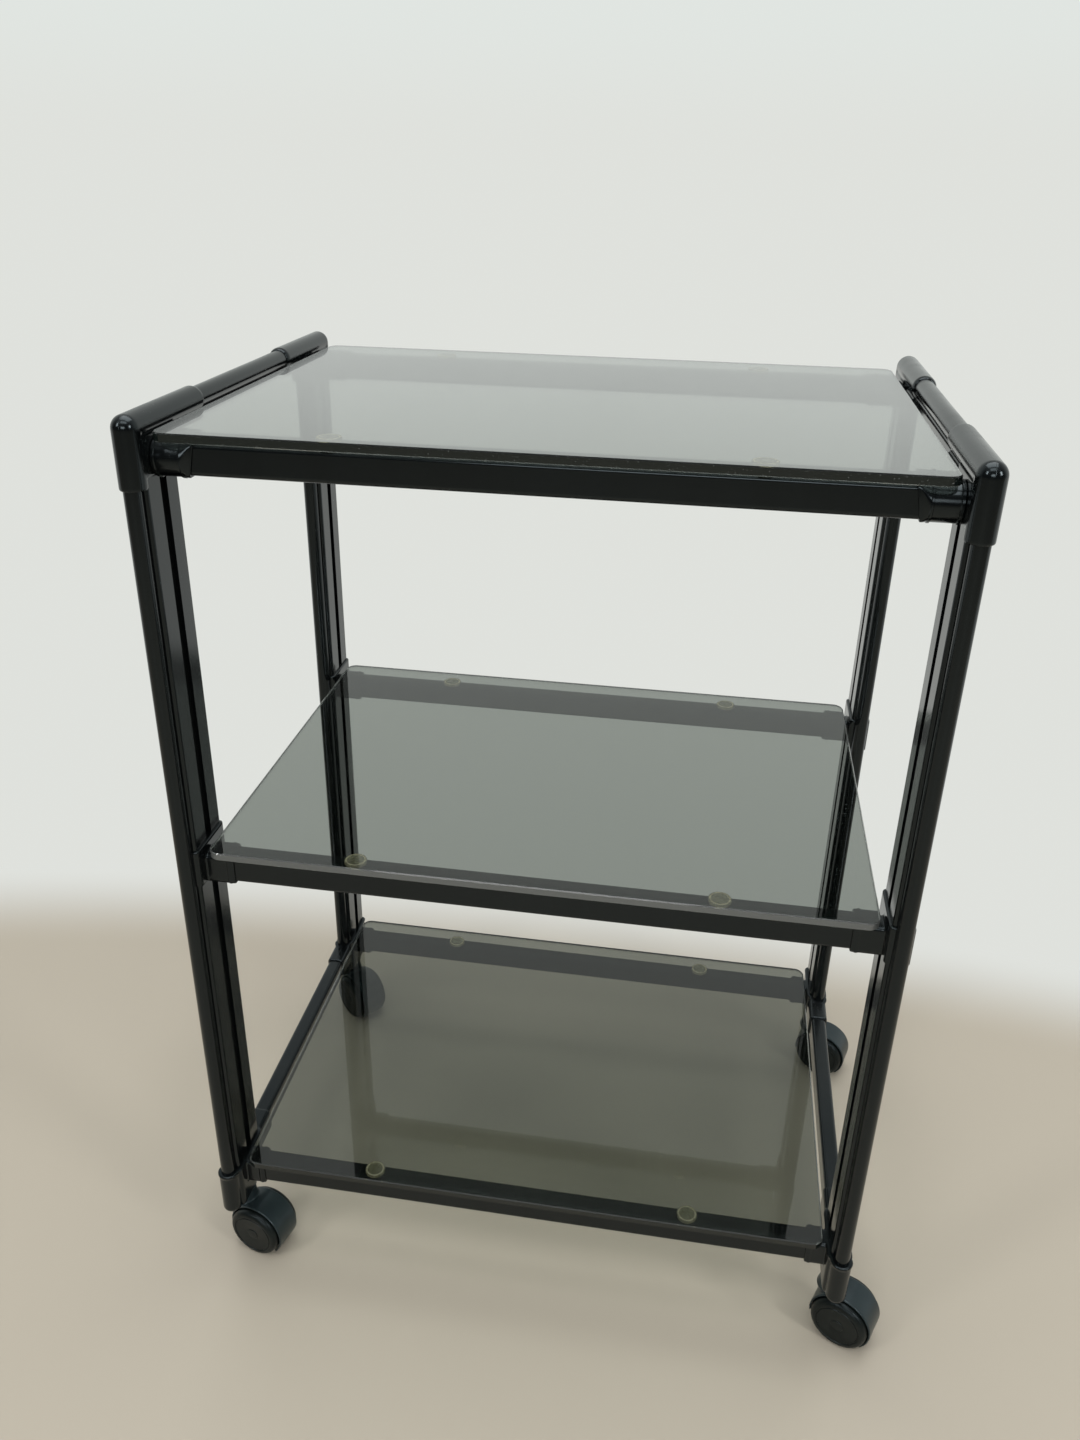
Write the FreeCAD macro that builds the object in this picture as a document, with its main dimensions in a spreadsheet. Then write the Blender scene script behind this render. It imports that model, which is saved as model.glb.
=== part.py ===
import FreeCAD, Part
import Sketcher
import os

# A serving trolley: four flattened tube legs, three glass shelves on cross rails, four swivel casters.
# X runs left to right, Y from the front to the back, Z up. The origin is on the floor, midway
# between the legs. Lengths are millimetres.

doc = FreeCAD.newDocument("ServingTrolley")
sheet = doc.addObject("Spreadsheet::Sheet", "Sizes")

SIZES = (
    # The frame as a whole
    ("FrameWidth", 514.0, "outside to outside of the leg bodies"),
    ("FrameDepth", 362.0, "front of the front legs to the back of the rear legs"),
    ("TopRailHeight", 695.0, "floor to the underside of the top cross rails"),
    ("MiddleRailHeight", 392.3, "floor to the underside of the middle cross rails"),
    ("BottomRailHeight", 84.4, "floor to the underside of the bottom rails"),
    ("FitGap", 0.1, "play all round between a tube and the socket it sits in"),
    ("Overrun", 2.0, "how far a cut runs past the face it opens"),
    # The leg's section: a round nose tube in front of a flat body with a groove
    ("LegThick", 14.0, "thickness of the flat body, left to right"),
    ("LegDepth", 52.0, "front of the nose to the back of the flat body"),
    ("NoseRadius", 5.8, "outer radius of the nose tube"),
    ("NoseWall", 1.2, "wall of the nose tube"),
    ("NoseSink", 3.0, "how far the nose tube sits in the flat body"),
    ("BodyRound", 2.5, "rounding of the flat body's upright edges"),
    ("GrooveLead", 26.5, "front of the nose to the front of the groove"),
    ("GrooveWide", 9.0, "width of the groove on the inner face"),
    ("GrooveDeep", 3.6, "depth of the groove"),
    ("LegWall", 1.3, "wall of the flat body"),
    ("LegSeat", 25.0, "underside of the bottom corner joint to the lower end of the leg"),
    ("LegTop", 9.0, "underside of the top cross rails to the upper end of the leg"),
    # The cross rails and the bottom side rails share one section
    ("RailDeep", 14.0, "thickness of a rail, front to back"),
    ("RailTall", 20.5, "height of a rail"),
    ("RailRound", 3.0, "rounding of a rail's long edges"),
    ("RailWall", 1.2, "wall of a rail"),
    ("RailEntry", 16.0, "length of a rail's end inside its socket"),
    # The top side rails: a round tube with a flat keel under it
    ("SideRailRise", 31.0, "underside of the top cross rails to the axis of the top side tubes"),
    ("SideRailGap", 23.2, "middle of a corner's ball to the end of a top side rail"),
    ("TubeRadius", 7.0, "outer radius of the round tube"),
    ("TubeWall", 1.2, "wall of the round tube"),
    ("KeelThick", 11.5, "thickness of the keel, left to right"),
    ("KeelTall", 10.0, "height of the keel"),
    ("KeelDrop", 16.0, "tube axis to the underside of the keel"),
    ("KeelRound", 2.4, "rounding of the keel's long edges"),
    ("NeckThick", 6.0, "thickness of the web between tube and keel"),
    # The top corner joints
    ("SleeveWall", 1.8, "radius of the ball and both sleeves beyond the tube's"),
    ("SleeveDrop", 6.5, "underside of the top cross rails down to the end of the upright sleeve"),
    ("SleeveReach", 96.0, "ball to the end of the level sleeve"),
    ("KeelCover", 1.9, "wall of the sleeve round the keel"),
    ("CheekWall", 1.8, "wall of the flat cheek over the leg's body"),
    ("CheekRound", 3.0, "rounding of the cheek's upright edges"),
    ("CupClear", 0.15, "top of the round cup for the cross rail to the glass above it"),
    ("MouthStep", 0.6, "radius of the cup less that of its narrow mouth"),
    ("CupNeck", 9.0, "length of the cup's tapered mouth"),
    ("MouthReach", 30.0, "middle of the leg to the mouth of the top and middle rail sockets"),
    ("LowMouthReach", 25.0, "middle of the leg to the mouth of the bottom rail sockets"),
    # The middle collars
    ("CollarLift", 0.2, "underside of the middle cross rails up to the lower edge of a collar"),
    ("CollarTall", 30.2, "height of a collar"),
    ("CollarWall", 1.8, "wall of a collar"),
    ("CollarRound", 2.8, "rounding of a collar's upright edges"),
    ("SocketWall", 1.7, "wall of a socket round a rail"),
    ("SocketRound", 4.5, "rounding of a socket's long edges"),
    # The bottom corner joints
    ("ShoeDrop", 20.4, "underside of the bottom rails down to the underside of a corner joint"),
    ("ShoeTall", 43.0, "height of a corner joint, underside to rim"),
    ("ShoeWall", 2.2, "wall of a corner joint"),
    ("ShoeRound", 4.0, "rounding of the underside's edge"),
    ("StemLead", 33.2, "front of the nose to the axis of the caster's stem"),
    ("StemOut", 1.5, "middle of the leg out to the axis of the caster's stem"),
    ("ShoeReach", 24.0, "leg's flat end to the mouth of the side rail socket"),
    # The shelves
    ("GlassSideGap", 6.0, "inner face of a leg to the side edge of the glass"),
    ("TopGlassInset", 6.5, "front or back of the frame to the edge of the top glass"),
    ("LowGlassInset", 11.0, "front or back of the frame to the edge of the lower glasses"),
    ("GlassThick", 6.0, "thickness of the glass"),
    ("GlassCorner", 9.0, "radius of the shelf's corners in plan"),
    ("GlassArris", 0.8, "bevel along the edges of the glass"),
    ("PadRadius", 8.2, "radius of a clear pad"),
    ("PadThick", 2.5, "thickness of a clear pad"),
    ("PadInset", 120.0, "middle of the leg to the middle of a pad"),
    # The casters: two wheels under one hood, on a stem
    ("WheelRadius", 23.4, "radius of a wheel"),
    ("WheelShoulder", 4.5, "rounding of a wheel's outer edge"),
    ("CasterWide", 35.0, "outside to outside of the two wheels"),
    ("WebThick", 10.0, "thickness of the hood's middle web"),
    ("WheelPlay", 0.5, "gap between a wheel and the web"),
    ("HubRadius", 8.0, "radius of the raised hub on a wheel's inner side"),
    ("HubStand", 0.3, "gap between a wheel's hub and the web"),
    ("WheelShow", 5.0, "how far a wheel stands out beside the hood"),
    ("HoodGap", 0.8, "gap between a wheel's tread and the hood"),
    ("HoodWall", 1.6, "wall of the hood over the wheels"),
    ("HoodLow", 6.0, "floor to the hood's lower edge behind the wheels"),
    ("HoodLift", 4.4, "wheel axis down to the hood's lower edge on the stem side"),
    ("Trail", 15.5, "stem axis to wheel axis"),
    ("NeckRadius", 8.6, "radius of the hood's neck"),
    ("NeckGap", 0.3, "gap between the neck and the corner joint above it"),
    ("NeckBed", 10.6, "wheel axis up to the lower end of the neck inside the hood"),
    ("StemRadius", 4.0, "radius of the stem"),
    ("StemBed", 13.6, "wheel axis up to the lower end of the stem"),
    ("StemEntry", 20.0, "length of the stem inside the corner joint"),
    ("RunningFit", 0.06, "play between a turning piece and its pin"),
    ("AxleRadius", 2.5, "radius of the axle"),
    ("AxleCap", 1.8, "bottom of a wheel's bore to the wheel's outer face"),
    ("EndPlay", 0.4, "gap between the axle's end and the bottom of the wheel's bore"),
)

# Sizes that follow from the ones above
WORKED_OUT = (
    ("CrossRailSpread", "FrameDepth - LegDepth", "front cross rail axis to rear cross rail axis"),
    ("SideRailHeight", "TopRailHeight + SideRailRise", "floor to the axis of the top side tubes"),
    ("SideRailEnd", "FrameDepth / 2 - NoseRadius - SideRailGap", "middle of the trolley to a top side rail's end"),
    ("NoseBore", "NoseRadius - NoseWall", "inner radius of the nose tube"),
    ("BodyLead", "2 * NoseRadius - NoseSink", "front of the nose to the front of the flat body"),
    ("LegHead", "TopRailHeight + LegTop", "floor to the upper end of the leg"),
    ("TubeBore", "TubeRadius - TubeWall", "inner radius of the round tube"),
    ("SleeveRadius", "TubeRadius + SleeveWall", "outer radius of the ball and both sleeves"),
    ("SleeveLow", "TopRailHeight - SleeveDrop", "floor to the lower end of the upright sleeve"),
    ("CupRadius", "RailTall / 2 + PadThick - CupClear", "outer radius of the round cup for the cross rail"),
    ("CupMouth", "CupRadius - MouthStep", "outer radius of the cup's narrow mouth"),
    ("MouthCover", "(FrameWidth - LegThick) / 2 - MouthReach", "middle of the trolley to the upper sockets' mouths"),
    ("LowMouthCover", "(FrameWidth - LegThick) / 2 - LowMouthReach", "middle of the trolley to the bottom sockets' mouths"),
    ("CollarLow", "MiddleRailHeight + CollarLift", "floor to the lower edge of a collar"),
    ("ShoeLow", "BottomRailHeight - ShoeDrop", "floor to the underside of a corner joint"),
    ("ShoeRim", "ShoeLow + ShoeTall", "floor to the rim of a corner joint"),
    ("LegFoot", "ShoeLow + LegSeat", "floor to the lower end of the leg"),
    ("GlassWide", "FrameWidth - 2 * LegThick - 2 * GlassSideGap", "width of a glass shelf"),
    ("TopGlassDeep", "FrameDepth - 2 * TopGlassInset", "depth of the top glass shelf"),
    ("LowGlassDeep", "FrameDepth - 2 * LowGlassInset", "depth of the middle and bottom glass shelves"),
    ("PadSpread", "FrameWidth - LegThick - 2 * PadInset", "left pad to right pad on one rail"),
    ("HoodWide", "CasterWide - 2 * WheelShow", "width of the hood"),
    ("HoodRadius", "WheelRadius + HoodGap + HoodWall", "outer radius of the hood"),
    ("HoodFront", "WheelRadius - HoodLift", "floor to the hood's lower edge on the stem side"),
    ("NeckFoot", "WheelRadius + NeckBed", "floor to the lower end of the neck inside the hood"),
    ("StemFoot", "WheelRadius + StemBed", "floor to the lower end of the stem"),
    ("StemHead", "ShoeLow + StemEntry", "floor to the upper end of the stem"),
    ("AxleEntry", "(CasterWide - WebThick) / 2 - HubStand - AxleCap - EndPlay", "length of the axle inside each wheel"),
)


def fill_row(row, alias, value, note):
    """One named size in the spreadsheet: a number, or a formula of other sizes."""
    sheet.set(f"A{row}", alias)
    sheet.set(f"B{row}", value)
    sheet.setAlias(f"B{row}", alias)
    sheet.set(f"C{row}", note)


for row, (alias, number, note) in enumerate(SIZES, start=1):
    fill_row(row, alias, str(number), note)
for row, (alias, formula, note) in enumerate(WORKED_OUT, start=len(SIZES) + 1):
    fill_row(row, alias, f"={formula}", note)
doc.recompute()

# Which way each caster stands, in degrees: the direction from its stem to its axle
CASTER_TURNS = {
    "front_left": -15.0,
    "front_right": -25.0,
    "rear_left": -40.0,
    "rear_right": -18.0,
}
SIDES = {"left": -1, "right": 1}
ENDS = {"front": -1, "rear": 1}
CORNERS = [(f"{end}_{side}", SIDES[side], ENDS[end]) for end in ENDS for side in SIDES]
LEVELS = {"top": "Sizes.TopRailHeight", "middle": "Sizes.MiddleRailHeight", "bottom": "Sizes.BottomRailHeight"}

# Places worked out from the sizes
LEG_X = "(Sizes.FrameWidth - Sizes.LegThick) / 2"
NOSE_X = "(Sizes.FrameWidth / 2 - Sizes.NoseRadius)"
STEM_X = f"({LEG_X} + Sizes.StemOut)"
RAIL_Y = "Sizes.CrossRailSpread / 2"
RAIL_END = "(Sizes.MouthCover + Sizes.RailEntry)"
BALL_Y = "(Sizes.FrameDepth / 2 - Sizes.NoseRadius)"
AXLE_Z = "Sizes.WheelRadius"

# How far apart two sizes may read and still count as equal
SAME = 1e-6

parts = []


def size(alias):
    """One driving size, as a number."""
    return float(sheet.get(alias))


def place(shape, x, y, z):
    """Bind a shape's position to three expressions."""
    for axis, expression in zip("xyz", (x, y, z)):
        shape.setExpression(f".Placement.Base.{axis}", expression)


def block(name, wide, deep, tall, x, y, low):
    """A box centred on x and y, standing on the height low."""
    box = doc.addObject("Part::Box", name)
    box.setExpression("Length", wide)
    box.setExpression("Width", deep)
    box.setExpression("Height", tall)
    place(box, f"{x} - ({wide}) / 2", f"{y} - ({deep}) / 2", low)
    return box


def rod(name, radius, length, start, along="Z"):
    """A cylinder that starts at the place start and runs along +X, +Y or +Z."""
    cylinder = doc.addObject("Part::Cylinder", name)
    turns = {"X": ((0, 1, 0), 90), "Y": ((-1, 0, 0), 90), "Z": ((0, 0, 1), 0)}
    axis, angle = turns[along]
    cylinder.Placement = FreeCAD.Placement(FreeCAD.Vector(), FreeCAD.Rotation(FreeCAD.Vector(*axis), angle))
    cylinder.setExpression("Radius", radius)
    cylinder.setExpression("Height", length)
    place(cylinder, *start)
    return cylinder


def taper(name, radius_start, radius_end, length, start):
    """A cone along +X."""
    cone = doc.addObject("Part::Cone", name)
    cone.Placement = FreeCAD.Placement(FreeCAD.Vector(), FreeCAD.Rotation(FreeCAD.Vector(0, 1, 0), 90))
    cone.setExpression("Radius1", radius_start)
    cone.setExpression("Radius2", radius_end)
    cone.setExpression("Height", length)
    place(cone, *start)
    return cone


def ball(name, radius, centre):
    """A sphere about a centre."""
    sphere = doc.addObject("Part::Sphere", name)
    sphere.setExpression("Radius", radius)
    place(sphere, *centre)
    return sphere


def fuse(name, *shapes):
    """One solid from several."""
    joined = doc.addObject("Part::MultiFuse", name)
    joined.Shapes = list(shapes)
    joined.Refine = True
    return joined


def cut(name, base, *tools):
    """A solid less one or more others."""
    tool = tools[0] if len(tools) == 1 else fuse(f"{name}_tools", *tools)
    less = doc.addObject("Part::Cut", name)
    less.Base = base
    less.Tool = tool
    less.Refine = True
    return less


def straight_edges(shape, along):
    """Numbers of the straight edges that run along one axis."""
    axis = FreeCAD.Vector(*[letter == along for letter in "XYZ"])
    found = []
    for number, edge in enumerate(shape.Edges, start=1):
        if not isinstance(edge.Curve, Part.Line):
            continue
        if abs(abs(edge.tangentAt(edge.FirstParameter).dot(axis)) - 1) < SAME:
            found.append(number)
    return found


def rounded(name, base, radius, edges):
    """A solid with the numbered edges rounded."""
    doc.recompute()
    fillet = doc.addObject("Part::Fillet", name)
    fillet.Base = base
    fillet.Edges = [(number, radius, radius) for number in edges(base.Shape)]
    return fillet


def round_block(name, wide, deep, tall, x, y, low, radius, along):
    """A box with its edges along one axis rounded."""
    box = block(f"{name}_box", wide, deep, tall, x, y, low)
    return rounded(name, box, radius, lambda shape: straight_edges(shape, along))


def keep(label, shape):
    """Name a finished sub-part."""
    shape.Label = label
    parts.append(shape)
    return shape


def leg_front(end):
    """Expression of the y where the nose of a leg begins: both pairs face forwards."""
    if end < 0:
        return "(-Sizes.FrameDepth / 2)"
    return "(Sizes.FrameDepth / 2 - Sizes.LegDepth)"


def leg_outline(name, side, end, low, high, play, with_nose=True):
    """The leg's outer form between two heights, larger all round by the play."""
    front = leg_front(end)
    x = f"{side} * {LEG_X}"
    tall = f"({high}) - ({low})"
    deep = f"Sizes.LegDepth - Sizes.BodyLead + 2 * ({play})"
    middle = f"{front} + (Sizes.LegDepth + Sizes.BodyLead) / 2"
    body = round_block(
        f"{name}_body", f"Sizes.LegThick + 2 * ({play})", deep, tall, x, middle, low, size("BodyRound"), "Z"
    )
    if not with_nose:
        return body
    nose_start = (f"{side} * {NOSE_X}", f"{front} + Sizes.NoseRadius", low)
    nose = rod(f"{name}_nose", f"Sizes.NoseRadius + ({play})", tall, nose_start)
    return fuse(f"{name}_outline", nose, body)


def leg(corner, side, end):
    """A flattened tube: round nose in front, flat body behind, a groove on the inner face."""
    name = f"leg_{corner}"
    front = leg_front(end)
    x = f"{side} * {LEG_X}"
    low = "Sizes.LegFoot - Sizes.Overrun"
    tall = "Sizes.LegHead - Sizes.LegFoot + 2 * Sizes.Overrun"
    outline = leg_outline(name, side, end, "Sizes.LegFoot", "Sizes.LegHead", "0")
    bore_start = (f"{side} * {NOSE_X}", f"{front} + Sizes.NoseRadius", low)
    bore = rod(f"{name}_bore", "Sizes.NoseBore", tall, bore_start)
    groove_middle = f"{front} + Sizes.GrooveLead + Sizes.GrooveWide / 2"
    groove_x = f"{side} * ({LEG_X} - Sizes.LegThick / 2)"
    groove = block(
        f"{name}_groove", "2 * Sizes.GrooveDeep", "Sizes.GrooveWide", tall, groove_x, groove_middle, low
    )
    cavity_thick = "Sizes.LegThick - 2 * Sizes.LegWall"
    cavity_low = "Sizes.BodyLead + 3 * Sizes.LegWall"
    front_deep = f"Sizes.GrooveLead - Sizes.LegWall - ({cavity_low})"
    front_middle = f"{front} + {cavity_low} + ({front_deep}) / 2"
    front_cavity = block(f"{name}_front_cavity", cavity_thick, front_deep, tall, x, front_middle, low)
    back_start = "Sizes.GrooveLead + Sizes.GrooveWide + Sizes.LegWall"
    back_deep = f"Sizes.LegDepth - Sizes.LegWall - ({back_start})"
    back_middle = f"{front} + {back_start} + ({back_deep}) / 2"
    back_cavity = block(f"{name}_back_cavity", cavity_thick, back_deep, tall, x, back_middle, low)
    link_thick = f"{cavity_thick} - Sizes.GrooveDeep"
    link_x = f"{side} * ({LEG_X} + Sizes.GrooveDeep / 2)"
    link_deep = "Sizes.GrooveWide + 3 * Sizes.LegWall"
    link = block(f"{name}_link", link_thick, link_deep, tall, link_x, groove_middle, low)
    keep(name, cut(name, outline, bore, groove, front_cavity, back_cavity, link))


def cross_rail(level, low, end_name, end):
    """A rounded rectangular tube from one leg's socket to the other's."""
    name = f"{level}_rail_{end_name}"
    y = f"{end} * {RAIL_Y}"
    long = f"2 * {RAIL_END}"
    outer = round_block(
        f"{name}_outer", long, "Sizes.RailDeep", "Sizes.RailTall", "0", y, low, size("RailRound"), "X"
    )
    bore = round_block(
        f"{name}_bore", f"{long} + 2 * Sizes.Overrun", "Sizes.RailDeep - 2 * Sizes.RailWall",
        "Sizes.RailTall - 2 * Sizes.RailWall", "0", y, f"{low} + Sizes.RailWall",
        size("RailRound") - size("RailWall"), "X",
    )
    keep(name, cut(name, outer, bore))


def bottom_side_rail(side_name, side):
    """The same tube, front to back between the bottom corner joints."""
    name = f"bottom_rail_{side_name}"
    x = f"{side} * {LEG_X}"
    low = "Sizes.BottomRailHeight"
    front = f"({leg_front(-1)} + Sizes.LegDepth + Sizes.ShoeReach - Sizes.RailEntry)"
    back = f"({leg_front(1)} - Sizes.ShoeReach + Sizes.RailEntry)"
    middle = f"({front} + {back}) / 2"
    outer = round_block(
        f"{name}_outer", "Sizes.RailDeep", f"{back} - {front}", "Sizes.RailTall", x, middle, low,
        size("RailRound"), "Y",
    )
    bore = round_block(
        f"{name}_bore", "Sizes.RailDeep - 2 * Sizes.RailWall", f"{back} - {front} + 2 * Sizes.Overrun",
        "Sizes.RailTall - 2 * Sizes.RailWall", x, middle, f"{low} + Sizes.RailWall",
        size("RailRound") - size("RailWall"), "Y",
    )
    keep(name, cut(name, outer, bore))


def side_rail_outline(name, side, front, back, play):
    """The top side rail's outer form between two places in y, larger all round by the play."""
    x = f"{side} * {LEG_X}"
    long = f"({back}) - ({front})"
    middle = f"(({front}) + ({back})) / 2"
    tube = rod(f"{name}_tube", f"Sizes.TubeRadius + ({play})", long, (x, front, "Sizes.SideRailHeight"), "Y")
    keel_low = f"Sizes.SideRailHeight - Sizes.KeelDrop - ({play})"
    keel = round_block(
        f"{name}_keel", f"Sizes.KeelThick + 2 * ({play})", long, f"Sizes.KeelTall + 2 * ({play})",
        x, middle, keel_low, size("KeelRound"), "Y",
    )
    neck = block(
        f"{name}_neck", f"Sizes.NeckThick + 2 * ({play})", long, "Sizes.KeelDrop - Sizes.KeelTall / 2",
        x, middle, "Sizes.SideRailHeight - Sizes.KeelDrop + Sizes.KeelTall / 2",
    )
    return fuse(f"{name}_outline", tube, keel, neck)


def top_side_rail(side_name, side):
    """A round tube with a keel, from the front corner joint to the rear one."""
    name = f"top_rail_{side_name}"
    outline = side_rail_outline(name, side, "-Sizes.SideRailEnd", "Sizes.SideRailEnd", "0")
    x = f"{side} * {LEG_X}"
    start = (x, "-Sizes.SideRailEnd - Sizes.Overrun", "Sizes.SideRailHeight")
    bore = rod(f"{name}_bore", "Sizes.TubeBore", "2 * (Sizes.SideRailEnd + Sizes.Overrun)", start, "Y")
    keep(name, cut(name, outline, bore))


def rail_void(name, side, end, low):
    """The room that a cross rail's end takes up in its socket."""
    room = "Sizes.RailEntry + Sizes.FitGap + Sizes.Overrun"
    x = f"{side} * (Sizes.MouthCover - Sizes.Overrun + ({room}) / 2)"
    return round_block(
        f"{name}_void", room, "Sizes.RailDeep + 2 * Sizes.FitGap", "Sizes.RailTall + 2 * Sizes.FitGap",
        x, f"{end} * {RAIL_Y}", f"{low} - Sizes.FitGap", size("RailRound"), "X",
    )


def rail_socket(name, side, end, low, mouth):
    """A rounded box round a cross rail's end, from the socket's mouth to the middle of the leg."""
    long = f"{LEG_X} - {mouth}"
    x = f"{side} * ({mouth} + ({long}) / 2)"
    return round_block(
        f"{name}_socket", long, "Sizes.RailDeep + 2 * Sizes.SocketWall", "Sizes.RailTall + 2 * Sizes.SocketWall",
        x, f"{end} * {RAIL_Y}", f"{low} - Sizes.SocketWall", size("SocketRound"), "X",
    )


def top_joint(corner, side, end):
    """A moulded elbow: ball corner, upright and level sleeves, a cheek over the leg, a cup for the rail."""
    name = f"top_joint_{corner}"
    x = f"{side} * {LEG_X}"
    ball_y = f"{end} * {BALL_Y}"
    height = "Sizes.SideRailHeight"
    corner_ball = ball(f"{name}_ball", "Sizes.SleeveRadius", (x, ball_y, height))
    upright = rod(f"{name}_upright", "Sizes.SleeveRadius", f"{height} - Sizes.SleeveLow", (x, ball_y, "Sizes.SleeveLow"))
    level_start = ball_y if end < 0 else f"{BALL_Y} - Sizes.SleeveReach"
    level = rod(f"{name}_level", "Sizes.SleeveRadius", "Sizes.SleeveReach", (x, level_start, height), "Y")
    cover_deep = "Sizes.KeelDrop + Sizes.KeelCover"
    cover = round_block(
        f"{name}_cover", "Sizes.KeelThick + 2 * Sizes.KeelCover", "Sizes.SleeveReach", cover_deep, x,
        f"{end} * ({BALL_Y} - Sizes.SleeveReach / 2)", f"{height} - ({cover_deep})", size("KeelRound"), "Y",
    )
    cheek_back = f"({end} * ({BALL_Y}))"
    cheek_front = f"({end} * (Sizes.FrameDepth / 2 - Sizes.LegDepth - Sizes.CheekWall))"
    cheek = round_block(
        f"{name}_cheek", "Sizes.LegThick + 2 * Sizes.CheekWall",
        f"{BALL_Y} - Sizes.FrameDepth / 2 + Sizes.LegDepth + Sizes.CheekWall",
        f"{height} - Sizes.TopRailHeight", x, f"({cheek_back} + {cheek_front}) / 2",
        "Sizes.TopRailHeight", size("CheekRound"), "Z",
    )
    rail_z = "Sizes.TopRailHeight + Sizes.RailTall / 2"
    inner = f"({LEG_X})"
    cup_long = f"{inner} - Sizes.MouthCover - Sizes.CupNeck"
    cup_x = "Sizes.MouthCover + Sizes.CupNeck" if side > 0 else f"-{inner}"
    cup = rod(f"{name}_cup", "Sizes.CupRadius", cup_long, (cup_x, f"{end} * {RAIL_Y}", rail_z), "X")
    mouth_x = "Sizes.MouthCover" if side > 0 else "-Sizes.MouthCover - Sizes.CupNeck"
    mouth_radii = ("Sizes.CupMouth", "Sizes.CupRadius") if side > 0 else ("Sizes.CupRadius", "Sizes.CupMouth")
    mouth = taper(f"{name}_mouth", *mouth_radii, "Sizes.CupNeck", (mouth_x, f"{end} * {RAIL_Y}", rail_z))
    solid = fuse(f"{name}_solid", corner_ball, upright, level, cover, cheek, cup, mouth)
    leg_void = leg_outline(
        f"{name}_leg", side, end, "Sizes.SleeveLow - Sizes.Overrun", "Sizes.LegHead + Sizes.FitGap", "Sizes.FitGap"
    )
    reach = f"{BALL_Y} - Sizes.SleeveReach - Sizes.Overrun"
    rail_stop = "Sizes.SideRailEnd + Sizes.FitGap"
    bounds = (reach, rail_stop) if end > 0 else (f"-({rail_stop})", f"-({reach})")
    side_void = side_rail_outline(f"{name}_side", side, *bounds, "Sizes.FitGap")
    keep(name, cut(name, solid, leg_void, side_void, rail_void(name, side, end, "Sizes.TopRailHeight")))


def middle_joint(corner, side, end):
    """A collar round the leg's flat body with a socket for the middle cross rail."""
    name = f"middle_joint_{corner}"
    x = f"{side} * {LEG_X}"
    middle = f"{leg_front(end)} + (Sizes.LegDepth + Sizes.BodyLead) / 2"
    collar_deep = "Sizes.LegDepth - Sizes.BodyLead + 2 * Sizes.CollarWall"
    collar = round_block(
        f"{name}_collar", "Sizes.LegThick + 2 * Sizes.CollarWall", collar_deep, "Sizes.CollarTall", x, middle,
        "Sizes.CollarLow", size("CollarRound"), "Z",
    )
    socket = rail_socket(name, side, end, LEVELS["middle"], "Sizes.MouthCover")
    solid = fuse(f"{name}_solid", collar, socket)
    socket_low = f"{LEVELS['middle']} - Sizes.SocketWall"
    socket_high = f"{LEVELS['middle']} + Sizes.RailTall + Sizes.SocketWall"
    void_low = f"min(Sizes.CollarLow; {socket_low}) - Sizes.Overrun"
    void_high = f"max(Sizes.CollarLow + Sizes.CollarTall; {socket_high}) + Sizes.Overrun"
    leg_void = leg_outline(f"{name}_leg", side, end, void_low, void_high, "Sizes.FitGap")
    keep(name, cut(name, solid, leg_void, rail_void(name, side, end, LEVELS["middle"])))


def level_edges(height):
    """A picker of the edges that lie level at one height."""
    def pick(shape):
        return [
            number for number, edge in enumerate(shape.Edges, start=1)
            if abs(edge.BoundBox.ZMin - height) < SAME and abs(edge.BoundBox.ZMax - height) < SAME
        ]
    return pick


def shoe_outline(name, side, end):
    """The bottom joint's outer form: a cup under the nose and a block under the body, round underneath."""
    front = leg_front(end)
    x = f"{side} * {LEG_X}"
    tall = "Sizes.ShoeRim - Sizes.ShoeLow"
    cup_start = (f"{side} * {NOSE_X}", f"{front} + Sizes.NoseRadius", "Sizes.ShoeLow")
    cup = rod(f"{name}_cup", "Sizes.NoseRadius + Sizes.ShoeWall", tall, cup_start)
    heel = round_block(
        f"{name}_heel", "Sizes.LegThick + 2 * Sizes.ShoeWall",
        "Sizes.LegDepth - Sizes.BodyLead + 2 * Sizes.ShoeWall", tall, x,
        f"{front} + (Sizes.LegDepth + Sizes.BodyLead) / 2", "Sizes.ShoeLow",
        size("BodyRound") + size("ShoeWall"), "Z",
    )
    underside = level_edges(size("ShoeLow"))
    soft_cup = rounded(f"{name}_soft_cup", cup, size("ShoeRound"), underside)
    soft_heel = rounded(f"{name}_soft_heel", heel, size("ShoeRound"), underside)
    return fuse(f"{name}_shoe", soft_cup, soft_heel)


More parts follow.
